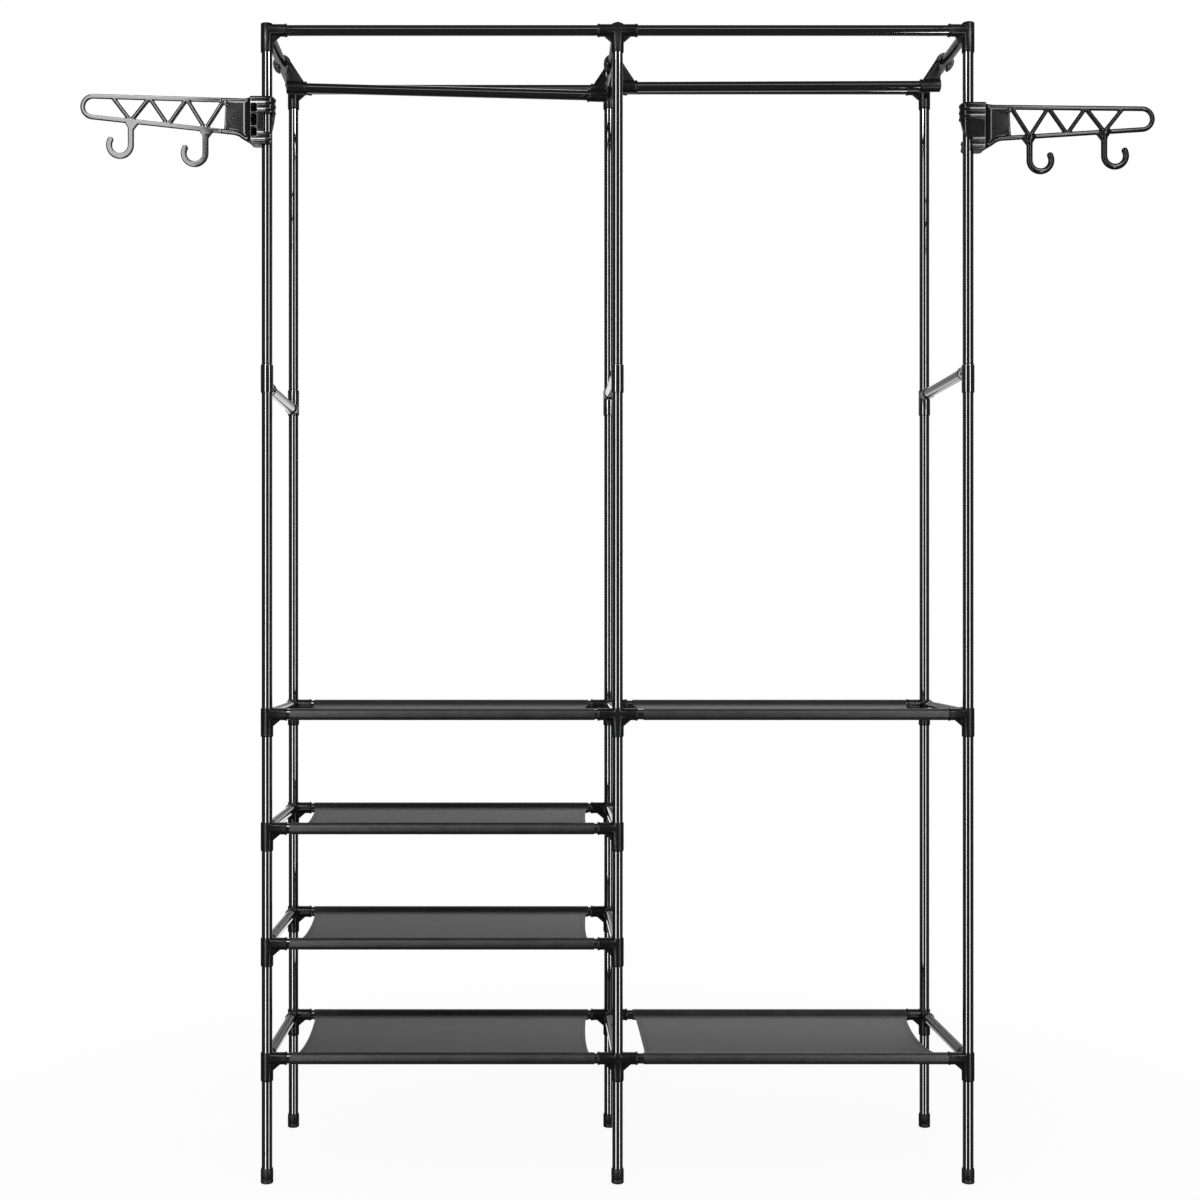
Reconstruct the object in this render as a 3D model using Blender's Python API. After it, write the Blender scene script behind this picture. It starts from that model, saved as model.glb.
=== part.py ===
"""Free-standing clothes rack of steel tube and moulded connectors.

Three pairs of posts make two bays. The left bay has four fabric shelves and the right bay has two.
Two hanging rods slide on the side rails, and two hook arms turn on the outer front posts.
Metres, +Z up, front towards -Y, origin on the floor under the middle of the rack.
"""

import math

import bmesh
import bpy
from mathutils import Matrix, Vector

# Grid of the posts
BAY_WIDTH = 0.514
RACK_DEPTH = 0.272

# Heights of the rail centres above the floor
SHELF_HEIGHTS = (0.1825, 0.3505, 0.5195, 0.687)
BRACE_HEIGHT = 1.179
TOP_HEIGHT = 1.6897

# Steel tube
TUBE_RADIUS = 0.0078
TUBE_WALL = 0.0005
TUBE_SIDES = 10
FIT = 0.0003

# Foot caps
FOOT_RADIUS = 0.0092
FOOT_HEIGHT = 0.022
FOOT_SOLE = 0.004
FOOT_TOP_TAPER = 0.0025
FOOT_LIP = 0.0004
FOOT_SOLE_BEVEL = 0.0008

# Connectors
POST_SLEEVE_RADIUS = 0.0092
RAIL_SLEEVE_RADIUS = 0.0089
SLEEVE_HEIGHT = 0.0423
SLEEVE_CROWN = 0.0003
SLEEVE_REACH = 0.0295
SLEEVE_TAPER = 0.0015
SLEEVE_TAPER_STEP = 0.0007
SOCKET_FLOOR = 0.0022
CAP_THICKNESS = 0.002
CAP_DOME = 0.002
GUSSET_RUN = 0.0192
GUSSET_DROP = 0.0175
GUSSET_THICKNESS = 0.006

# Fabric shelves
SHELF_END_GAP = 0.0045
CLOTH_THICKNESS = 0.0006
SHELF_SIDE_INSET = 0.004
SHELF_SIDE_CURVE = 0.006
SHELF_SAG = 0.004
SHELF_STEPS = 6
LEFT_SHELF_SHIFT = 0.0
RIGHT_SHELF_SHIFT = 0.004

# Hanging rods and their brackets
ROD_DROP = 0.036
LEFT_ROD_PLACE = 0.013
LEFT_ROD_INNER_PLACE = 0.055
RIGHT_ROD_PLACE = 0.004
RIGHT_ROD_INNER_PLACE = 0.010
HOOK_PLAY = 0.001
HOOK_WALL = 0.0047
HOOK_WIDTH = 0.012
HOOK_LIP_ANGLE = math.radians(215)
HOOK_STEPS = 10
BRACKET_SOCKET_WALL = 0.0014
BRACKET_SOCKET_START = 0.0065
BRACKET_SOCKET_END = 0.0385
BRACKET_SOCKET_FLOOR = 0.002
BRACKET_WEB_THICKNESS = 0.005
BRACKET_WEB_TOE = 0.0045
BRACKET_WEB_TURN = math.radians(31)
BRACKET_WEB_SINK = 0.0006

# Hook arms
RIGHT_ARM_DROP = 0.143
LEFT_ARM_DROP = 0.1342
RIGHT_ARM_LIFT = 0.0129
LEFT_ARM_LIFT = 0.0224
ARM_LENGTH = 0.255
ARM_TIP_RADIUS = 0.0189
ARM_BAR = 0.0073
ARM_BAR_SIDES_LEVEL = 1
TIP_STEPS = 8
CLIP_WALL = 0.0042
CLIP_HEIGHT = 0.0705
CLIP_SIDES = 12
CLIP_TOP_BAND = 0.0245
CLIP_LOW_BAND = 0.0175
CLIP_LOW_TURN = math.radians(130)
CLIP_LIP_EDGE = 0.0026
CLIP_LIP_CORNER = 0.0045
CLIP_LIP_RISE = 0.0105
CLIP_LIP_START = 0.0035
BLOCK_LENGTH = 0.0233
BLOCK_FILLET = 0.0109
BLOCK_FILLET_STEPS = 5
BLOCK_TOE = 0.0188
ARM_UPPER_ROOT = 0.0343
ARM_LOWER_ROOT = 0.0188
ARM_LOWER_ROOT_X = 0.0518
BLOCK_HEEL_DROP = 0.0249
BLOCK_HEEL_X = 0.0357
RIB_PITCH = 0.0098
TOP_RIB_COUNT = 3
LOW_RIB_COUNT = 2
RIB_HEIGHT = 0.0013
RIB_HALF = 0.0028
RIB_ROOT = 0.0005
BLOCK_STEP = 0.0004
POCKET_START = 0.0135
POCKET_END = 0.0213
POCKET_FRONT_WALL = 0.003
POCKET_HEIGHTS = (0.012, 0.0165, 0.012)
POCKET_WEB = 0.0035
PLATE_END = 0.0628
PLATE_THICKNESS = 0.003
TRUSS_PITCH = 0.0547
TRUSS_PANELS = 3
TRUSS_BAR = 0.0062
TRUSS_BAR_DEPTH = 0.0046
HOOK_BEND_RADIUS = 0.016
HOOK_BAR_RADIUS = 0.0046
HOOK_STEM_DROP = 0.0312
HOOK_TIP_ANGLE = math.radians(28)
HOOK_BEND_STEPS = 9
HOOK_FLARE_SHARE = 1.7

# One overrun past a face serves every cut
OVERRUN = 0.002
MERGE_DISTANCE = 0.000001
FLAT_ANGLE = math.radians(0.5)
SHARP_ANGLE = math.radians(40)

SIDES = {"left": -1, "middle": 0, "right": 1}
ROWS = {"front": -1, "rear": 1}
POST_BORE = TUBE_RADIUS + FIT
SLEEVE_TOP = RAIL_SLEEVE_RADIUS + SLEEVE_CROWN
SHELF_WIDTH = BAY_WIDTH - 2 * (SLEEVE_REACH + SHELF_END_GAP)


def material(name, colour, roughness, metallic):
    made = bpy.data.materials.new(name)
    made.use_nodes = True
    shader = made.node_tree.nodes["Principled BSDF"]
    shader.inputs["Base Color"].default_value = (*colour, 1)
    shader.inputs["Roughness"].default_value = roughness
    shader.inputs["Metallic"].default_value = metallic
    made.diffuse_color = (*colour, 1)
    return made


def mesh_of(name, work):
    bmesh.ops.recalc_face_normals(work, faces=work.faces)
    mesh = bpy.data.meshes.new(name)
    work.to_mesh(mesh)
    work.free()
    return mesh


def turned(name, profile, sides, closed):
    """A solid of revolution about Z. The profile is a run of (radius, height) pairs."""
    work = bmesh.new()
    points = [work.verts.new((radius, 0, height)) for radius, height in profile]
    pairs = list(zip(points, points[1:]))
    if closed:
        pairs.append((points[-1], points[0]))
    edges = [work.edges.new(pair) for pair in pairs]
    bmesh.ops.spin(
        work,
        geom=points + edges,
        cent=(0, 0, 0),
        axis=(0, 0, 1),
        angle=math.tau,
        steps=sides,
        use_merge=True,
    )
    bmesh.ops.remove_doubles(work, verts=work.verts, dist=MERGE_DISTANCE)
    return mesh_of(name, work)


def cylinder(radius, start, end, sides=TUBE_SIDES):
    """A solid rod between two points on a line along an axis, its flats in line with a tube's there."""
    start, end = Vector(start), Vector(end)
    length = (end - start).length
    rod = turned("cylinder", ((0, 0), (radius, 0), (radius, length), (0, length)), sides, False)
    turn = Vector((0, 0, 1)).rotation_difference(end - start).to_matrix().to_4x4()
    return moved(rod, Matrix.Translation(start) @ turn)


def prism(outline, thickness, plane):
    """An outline pulled to a thickness. The plane is XZ, YZ or XY, and the solid is centred on it."""
    across = {"XZ": Vector((0, 1, 0)), "YZ": Vector((1, 0, 0)), "XY": Vector((0, 0, 1))}[plane]
    place = {
        "XZ": lambda u, v: Vector((u, 0, v)),
        "YZ": lambda u, v: Vector((0, u, v)),
        "XY": lambda u, v: Vector((u, v, 0)),
    }[plane]
    work = bmesh.new()
    face = work.faces.new([work.verts.new(place(u, v) - across * thickness / 2) for u, v in outline])
    pulled = bmesh.ops.extrude_face_region(work, geom=[face])["geom"]
    moved = [item for item in pulled if isinstance(item, bmesh.types.BMVert)]
    bmesh.ops.translate(work, verts=moved, vec=across * thickness)
    return mesh_of("prism", work)


def box(low, high):
    work = bmesh.new()
    low, high = Vector(low), Vector(high)
    size = Matrix.Diagonal((*(high - low), 1))
    bmesh.ops.create_cube(work, size=1, matrix=Matrix.Translation((low + high) / 2) @ size)
    return mesh_of("box", work)


def moved(mesh, matrix):
    mesh.transform(matrix)
    if matrix.determinant() < 0:
        mesh.flip_normals()
    return mesh


def tidied(mesh):
    """Joins points that a Boolean left on top of each other and drops edges across flat faces."""
    work = bmesh.new()
    work.from_mesh(mesh)
    bmesh.ops.remove_doubles(work, verts=work.verts, dist=MERGE_DISTANCE)
    bmesh.ops.dissolve_limit(work, angle_limit=FLAT_ANGLE, verts=work.verts, edges=work.edges)
    work.to_mesh(mesh)
    work.free()
    return mesh


def combined(name, first, steps, solver="EXACT"):
    """Applies Booleans to the first mesh in turn. Each step is an operation and a mesh."""
    target = bpy.data.objects.new(name, first)
    bpy.context.collection.objects.link(target)
    for operation, mesh in steps:
        tool = bpy.data.objects.new("tool", mesh)
        bpy.context.collection.objects.link(tool)
        modifier = target.modifiers.new(operation, "BOOLEAN")
        modifier.operation = operation
        modifier.solver = solver
        modifier.object = tool
        bpy.context.view_layer.update()
        shaped = target.evaluated_get(bpy.context.evaluated_depsgraph_get())
        result = bpy.data.meshes.new_from_object(shaped)
        target.modifiers.clear()
        target.data = tidied(result) if solver == "EXACT" else result
        bpy.data.objects.remove(tool)
        bpy.data.meshes.remove(mesh)
    finished = target.data
    bpy.data.objects.remove(target)
    finished.name = name
    return finished


def place(name, mesh, look, location=(0, 0, 0), parent=None, turn=0):
    mesh.materials.clear()
    mesh.materials.append(look)
    mesh.shade_smooth()
    mesh.set_sharp_from_angle(angle=SHARP_ANGLE)
    made = bpy.data.objects.new(name, mesh)
    bpy.context.collection.objects.link(made)
    made.location = location
    made.rotation_euler = (0, 0, turn)
    made.parent = parent
    return made


def pivot(name, location, turn=0):
    empty = bpy.data.objects.new(name, None)
    bpy.context.collection.objects.link(empty)
    empty.location = location
    empty.rotation_euler = (0, 0, turn)
    return empty


def foot_mesh():
    profile = (
        (0, FOOT_SOLE),
        (POST_BORE, FOOT_SOLE),
        (POST_BORE, FOOT_HEIGHT),
        (POST_BORE + FOOT_LIP, FOOT_HEIGHT),
        (FOOT_RADIUS, FOOT_HEIGHT - FOOT_TOP_TAPER),
        (FOOT_RADIUS, FOOT_SOLE_BEVEL),
        (FOOT_RADIUS - FOOT_SOLE_BEVEL, 0),
        (0, 0),
    )
    return turned("foot", profile, TUBE_SIDES, False)


def tube_mesh(name, length):
    """A hollow tube from the origin up Z."""
    inner = TUBE_RADIUS - TUBE_WALL
    profile = ((inner, 0), (inner, length), (TUBE_RADIUS, length), (TUBE_RADIUS, 0))
    return turned(name, profile, TUBE_SIDES, True)


def post_sleeve(low, high, tapered, capped):
    """The upright sleeve of a connector: tapered mouths on a coupler, a domed crown at a post's top."""
    mouth = POST_SLEEVE_RADIUS - SLEEVE_TAPER_STEP
    if tapered:
        profile = [(0, low), (mouth, low), (POST_SLEEVE_RADIUS, low + SLEEVE_TAPER)]
        profile += [(POST_SLEEVE_RADIUS, high - SLEEVE_TAPER), (mouth, high), (0, high)]
    else:
        profile = [(0, low), (POST_SLEEVE_RADIUS, low), (POST_SLEEVE_RADIUS, high)]
        profile.append((0, high + CAP_DOME if capped else high))
    return turned("sleeve", profile, TUBE_SIDES, False)


def gusset(direction, along):
    """The slanted web under a rail sleeve, in the XZ or YZ plane, with its corners sunk in both sleeves."""
    slope = (GUSSET_DROP - RAIL_SLEEVE_RADIUS) / (GUSSET_RUN - POST_SLEEVE_RADIUS)
    root = POST_SLEEVE_RADIUS / 2
    top = RAIL_SLEEVE_RADIUS / 2
    outline = (
        (direction * root, -top),
        (direction * (GUSSET_RUN + top / slope), -top),
        (direction * root, -GUSSET_DROP - root * slope),
    )
    return prism(outline, GUSSET_THICKNESS, along)


def side_frame_mesh(name, bays, inverted=False, coupler=False, capped=False):
    """Front and rear connectors with the side rail between them, with the rail's centre at the origin.

    The bays are the directions, -1 or 1, in which long rails plug in.
    """
    half = RACK_DEPTH / 2
    reach = half - SLEEVE_REACH
    low = -SLEEVE_TOP if inverted else SLEEVE_TOP - SLEEVE_HEIGHT
    high = low + SLEEVE_HEIGHT
    unions = []
    cuts = []
    for row in (-1, 1):
        there = Matrix.Translation((0, row * half, 0))
        unions.append(moved(post_sleeve(low, high, coupler, capped), there))
        unions.append(cylinder(RAIL_SLEEVE_RADIUS, (0, row * half, 0), (0, row * reach, 0)))
        if not coupler:
            unions.append(moved(gusset(-row, "YZ"), there))
        for bay in bays:
            sleeve = cylinder(RAIL_SLEEVE_RADIUS, (0, 0, 0), (bay * SLEEVE_REACH, 0, 0))
            unions.append(moved(sleeve, there))
            unions.append(moved(gusset(bay, "XZ"), there))
            start = bay * (POST_BORE + SOCKET_FLOOR)
            socket = cylinder(POST_BORE, (start, 0, 0), (bay * (SLEEVE_REACH + OVERRUN), 0, 0))
            cuts.append(moved(socket, there))
        bore_top = high - CAP_THICKNESS if capped else high + OVERRUN
        cuts.append(moved(cylinder(POST_BORE, (0, 0, low - OVERRUN), (0, 0, bore_top)), there))
    rail = cylinder(TUBE_RADIUS, (0, -half, 0), (0, half, 0))
    steps = [("UNION", mesh) for mesh in unions] + [("DIFFERENCE", mesh) for mesh in cuts]
    return combined(name, rail, steps)


def shelf_panel():
    """The sagging sheet between the two rails, from one rail's centre line to the other's."""
    top = []
    edge = []
    for step in range(SHELF_STEPS + 1):
        share = step / SHELF_STEPS
        y = RACK_DEPTH * (share - 1 / 2)
        bow_share = 4 * share * (1 - share)
        top.append((y, CLOTH_THICKNESS / 2 - SHELF_SAG * bow_share))
        edge.append((SHELF_WIDTH / 2 - SHELF_SIDE_INSET - SHELF_SIDE_CURVE * bow_share, y))
    section = top + [(y, z - CLOTH_THICKNESS) for y, z in reversed(top)]
    outline = edge + [(-x, y) for x, y in reversed(edge)]
    sheet = prism(section, SHELF_WIDTH, "YZ")
    return sheet, prism(outline, 2 * (SHELF_SAG + OVERRUN), "XY")


def shelf_mesh():
    """A fabric panel with a sleeve round the front and the rear rail, centred on its bay."""
    half_width = SHELF_WIDTH / 2
    end = half_width + OVERRUN
    outer = POST_BORE + CLOTH_THICKNESS
    panel, outline = shelf_panel()
    steps = [("INTERSECT", outline)]
    for y in (-RACK_DEPTH / 2, RACK_DEPTH / 2):
        steps.append(("UNION", cylinder(outer, (-half_width, y, 0), (half_width, y, 0))))
    for y in (-RACK_DEPTH / 2, RACK_DEPTH / 2):
        steps.append(("DIFFERENCE", cylinder(POST_BORE, (-end, y, 0), (end, y, 0))))
    return combined("shelf", panel, steps)


def bracket_mesh():
    """A rod bracket: hook round the side rail at the origin, web, and socket opening towards +X."""
    inner = TUBE_RADIUS + HOOK_PLAY
    outer = inner + HOOK_WALL
    sink = HOOK_PLAY - FIT
    turns = [HOOK_LIP_ANGLE * step / HOOK_STEPS for step in range(HOOK_STEPS + 1)]
    arc = [(outer * math.cos(turn), outer * math.sin(turn) - sink) for turn in turns]
    arc += [(inner * math.cos(turn), inner * math.sin(turn) - sink) for turn in reversed(turns)]
    hook = prism(arc, HOOK_WIDTH, "XZ")
    socket_radius = POST_BORE + BRACKET_SOCKET_WALL
    toe = BRACKET_SOCKET_END - BRACKET_WEB_TOE
    root = outer - BRACKET_WEB_SINK
    web = prism(
        (
            (inner, 0),
            (root * math.cos(BRACKET_WEB_TURN), root * math.sin(BRACKET_WEB_TURN) - sink),
            (toe, -ROD_DROP + socket_radius),
            (toe, -ROD_DROP),
            (BRACKET_SOCKET_START, -ROD_DROP),
            (BRACKET_SOCKET_START, -outer),
            (inner, -inner / 2),
        ),
        BRACKET_WEB_THICKNESS,
        "XZ",
    )
    start = BRACKET_SOCKET_START
    socket = cylinder(socket_radius, (start, 0, -ROD_DROP), (BRACKET_SOCKET_END, 0, -ROD_DROP))
    bore_start = start + BRACKET_SOCKET_FLOOR
    bore_end = BRACKET_SOCKET_END + OVERRUN
    bore = cylinder(POST_BORE, (bore_start, 0, -ROD_DROP), (bore_end, 0, -ROD_DROP))
    steps = (("UNION", web), ("UNION", socket), ("DIFFERENCE", bore))
    return combined("bracket", hook, steps)


def rod_assembly(side, sign, place_outer, place_inner, steel, plastic, bracket):
    """A hanging rod with its outer bracket at the pivot and its inner bracket on the middle side rail."""
    across = Vector((-sign * BAY_WIDTH, place_inner - place_outer))
    span = across.length
    turn = math.atan2(across.y, across.x)
    centre = pivot(f"{side}_rod_pivot", (sign * BAY_WIDTH, place_outer, TOP_HEIGHT), turn)
    inset = BRACKET_SOCKET_START + BRACKET_SOCKET_FLOOR + FIT
    rod = place(f"{side}_hanging_rod", tube_mesh("rod", span - 2 * inset), steel, parent=centre)
    rod.location = (inset, 0, -ROD_DROP)
    rod.rotation_euler = (0, math.radians(90), 0)
    place(f"{side}_rod_outer_bracket", bracket, plastic, parent=centre)
    place(f"{side}_rod_inner_bracket", bracket, plastic, (span, 0, 0), centre, math.pi)


def swept_bar(points, radii, thickness, cyclic=False):
    """A round bar along points in the XZ plane."""
    curve = bpy.data.curves.new("bar", "CURVE")
    curve.dimensions = "3D"
    curve.bevel_depth = thickness
    curve.bevel_resolution = ARM_BAR_SIDES_LEVEL
    curve.use_fill_caps = True
    curve.twist_mode = "MINIMUM"
    line = curve.splines.new("POLY")
    line.points.add(len(points) - 1)
    for point, (x, z), radius in zip(line.points, points, radii):
        point.co = (x, 0, z, 1)
        point.radius = radius
    line.use_cyclic_u = cyclic
    holder = bpy.data.objects.new("bar", curve)
    bpy.context.collection.objects.link(holder)
    bpy.context.view_layer.update()
    mesh = bpy.data.meshes.new_from_object(holder.evaluated_get(bpy.context.evaluated_depsgraph_get()))
    bpy.data.objects.remove(holder)
    bpy.data.curves.remove(curve)
    work = bmesh.new()
    work.from_mesh(mesh)
    bpy.data.meshes.remove(mesh)
    bmesh.ops.remove_doubles(work, verts=work.verts, dist=MERGE_DISTANCE)
    return mesh_of("bar", work)


def line_height(first, second, x):
    share = (x - first[0]) / (second[0] - first[0])
    return first[1] + share * (second[1] - first[1])


def arm_rim(lift):
    """Centre line of the arm's rim, from the block along the top, round the tip and back below."""
    half_bar = ARM_BAR / 2
    top_root = (BLOCK_LENGTH, ARM_UPPER_ROOT - half_bar)
    low_root = (ARM_LOWER_ROOT_X, half_bar - ARM_LOWER_ROOT)
    bend = ARM_TIP_RADIUS - half_bar
    first = tangent_turn(top_root, lift, bend, 1)
    last = tangent_turn(low_root, lift, bend, -1)
    tip = []
    for step in range(TIP_STEPS + 1):
        turn = first + (last - first) * step / TIP_STEPS
        tip.append((ARM_LENGTH + bend * math.cos(turn), lift + bend * math.sin(turn)))
    return top_root, tip, low_root


def tangent_turn(root, lift, bend, sign):
    """The angle on the tip's circle where a line from the root meets it square to its radius."""
    across = math.atan2(root[1] - lift, root[0] - ARM_LENGTH)
    distance = math.hypot(root[1] - lift, root[0] - ARM_LENGTH)
    turn = across - sign * math.acos(bend / distance)
    return turn if sign > 0 else turn - (math.tau if turn > 0 else 0)


def arm_mesh(name, lift):
    """A hook arm along +X from the post's axis, with the clip's middle at the origin."""
    top_root, tip, low_root = arm_rim(lift)
    half_bar = ARM_BAR / 2
    half_clip = CLIP_HEIGHT / 2
    clip_radius = POST_BORE + CLIP_WALL
    heel = (BLOCK_HEEL_X, half_bar - BLOCK_HEEL_DROP)
    toe = (BLOCK_TOE, half_bar - half_clip)
    inside = (clip_radius, 0)
    rim_points = [inside, (clip_radius, top_root[1]), top_root, *tip, low_root, heel, toe, (clip_radius, toe[1])]
    rim = swept_bar(rim_points, [1] * len(rim_points), half_bar, cyclic=True)

    plan = [(0, -clip_radius), (BLOCK_LENGTH, -clip_radius)]
    for step in range(1, BLOCK_FILLET_STEPS + 1):
        turn = math.radians(90) * step / BLOCK_FILLET_STEPS
        x = BLOCK_LENGTH + BLOCK_FILLET * (1 - math.cos(turn))
        plan.append((x, -clip_radius + (clip_radius - PLATE_THICKNESS / 2) * math.sin(turn)))
    plan.append((PLATE_END, -PLATE_THICKNESS / 2))
    plan += [(x, -y) for x, y in reversed(plan)]
    block = prism(plan, CLIP_HEIGHT + 2 * OVERRUN, "XY")
    top_end = line_height(top_root, tip[0], PLATE_END)
    low_end = line_height(low_root, tip[-1], PLATE_END)
    side = prism(
        (
            (-OVERRUN, half_clip - BLOCK_STEP),
            (BLOCK_LENGTH, half_clip - BLOCK_STEP),
            (BLOCK_LENGTH + BLOCK_FILLET, top_root[1] + half_bar),
            (PLATE_END - OVERRUN, top_end),
            (PLATE_END, low_end),
            (low_root[0], low_root[1]),
            (heel[0], heel[1] - half_bar),
            (toe[0], BLOCK_STEP - half_clip),
            (-OVERRUN, BLOCK_STEP - half_clip),
        ),
        4 * clip_radius,
        "XZ",
    )
    steps = [("INTERSECT", side)]
    steps.append(("UNION", cylinder(clip_radius, (0, 0, -half_clip), (0, 0, half_clip), CLIP_SIDES)))
    for end, count in ((-1, LOW_RIB_COUNT), (1, TOP_RIB_COUNT)):
        for row in range(count):
            steps += rib_steps(end * (half_clip - RIB_HALF - OVERRUN / 2 - row * RIB_PITCH), clip_radius)
    steps.append(("UNION", rim))
    for panel in range(TRUSS_PANELS):
        steps += truss_steps(panel, top_root, tip, low_root)
    for panel in (0, TRUSS_PANELS - 1):
        steps.append(("UNION", coat_hook(panel, low_root, tip)))
    steps += clip_cuts(half_clip, clip_radius)
    return combined(name, block, steps, "MANIFOLD")


def rib_steps(height, clip_radius):
    """One finger ridge round the clip and along the block."""
    peak = clip_radius + RIB_HEIGHT
    root = clip_radius - RIB_ROOT
    low, high = height - RIB_HALF, height + RIB_HALF
    ring = turned("rib", ((0, low), (root, low), (peak, height), (root, high), (0, high)), CLIP_SIDES, False)
    outline = ((-root, low), (-peak, height), (-root, high), (0, height))
    bar = moved(prism(outline, BLOCK_LENGTH, "YZ"), Matrix.Translation((BLOCK_LENGTH / 2, 0, 0)))
    return [("UNION", ring), ("UNION", bar)]


def truss_steps(panel, top_root, tip, low_root):
    """The two slanted bars of one panel of the arm."""
    steps = []
    start = PLATE_END + panel * TRUSS_PITCH
    middle = start + TRUSS_PITCH / 2
    for x in (start, start + TRUSS_PITCH):
        upper = Vector((x, line_height(top_root, tip[0], x)))
        lower = Vector((middle, line_height(low_root, tip[-1], middle)))
        along = (lower - upper).normalized() * TRUSS_BAR / 2
        across = Vector((-along.y, along.x))
        outline = (upper - across, upper + across, lower + across, lower - across)
        steps.append(("UNION", prism(outline, TRUSS_BAR_DEPTH, "XZ")))
    return steps


def coat_hook(panel, low_root, tip):
    stem = PLATE_END + (panel + 0.5) * TRUSS_PITCH
    chord = line_height(low_root, tip[-1], stem)
    centre = (stem + HOOK_BEND_RADIUS, chord - ARM_BAR / 2 - HOOK_STEM_DROP)
    points = [(stem, chord), (stem, chord - ARM_BAR)]
    radii = [HOOK_FLARE_SHARE, 1]
    for step in range(HOOK_BEND_STEPS + 1):
        turn = math.pi + (math.pi + HOOK_TIP_ANGLE) * step / HOOK_BEND_STEPS
        points.append(
            (centre[0] + HOOK_BEND_RADIUS * math.cos(turn), centre[1] + HOOK_BEND_RADIUS * math.sin(turn))
        )
        radii.append(1)
    return swept_bar(points, radii, HOOK_BAR_RADIUS)


def clip_cuts(half_clip, clip_radius):
    """The post's bore, the fingers' free edges and the hollows behind the block."""
    far = 2 * clip_radius
    top_edge = half_clip - CLIP_TOP_BAND
    low_edge = CLIP_LOW_BAND - half_clip
    foot = -half_clip - OVERRUN
    lip = prism(
        (
            (-far, top_edge + CLIP_LIP_START),
            (-clip_radius, top_edge + CLIP_LIP_START),
            (-TUBE_RADIUS, low_edge + CLIP_LIP_RISE),
            (-CLIP_LIP_CORNER, low_edge + OVERRUN),
            (CLIP_LIP_EDGE, low_edge),
            (CLIP_LIP_EDGE, foot),
            (-far, foot),
        ),
        far,
        "XZ",
    )
    turn_x, turn_y = far * math.cos(CLIP_LOW_TURN), far * math.sin(CLIP_LOW_TURN)
    low_height = low_edge + OVERRUN - foot
    low_side = prism(((0, 0), (turn_x, turn_y), (-far, turn_y), (-far, 0)), low_height, "XY")
    cuts = [cylinder(POST_BORE, (0, 0, foot), (0, 0, half_clip + OVERRUN), CLIP_SIDES)]
    cuts.append(moved(low_side, Matrix.Translation((0, 0, foot + low_height / 2))))
    cuts.append(moved(lip, Matrix.Translation((0, FIT - far / 2, 0))))
    cuts.append(box((-far, FIT, low_edge), (CLIP_LIP_EDGE, far, top_edge)))
    total = sum(POCKET_HEIGHTS) + POCKET_WEB * (len(POCKET_HEIGHTS) - 1)
    low = -total / 2
    for height in POCKET_HEIGHTS:
        front = POCKET_FRONT_WALL - clip_radius
        cuts.append(box((POCKET_START, front, low), (POCKET_END, far, low + height)))
        low += height + POCKET_WEB
    return [("DIFFERENCE", mesh) for mesh in cuts]


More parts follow.
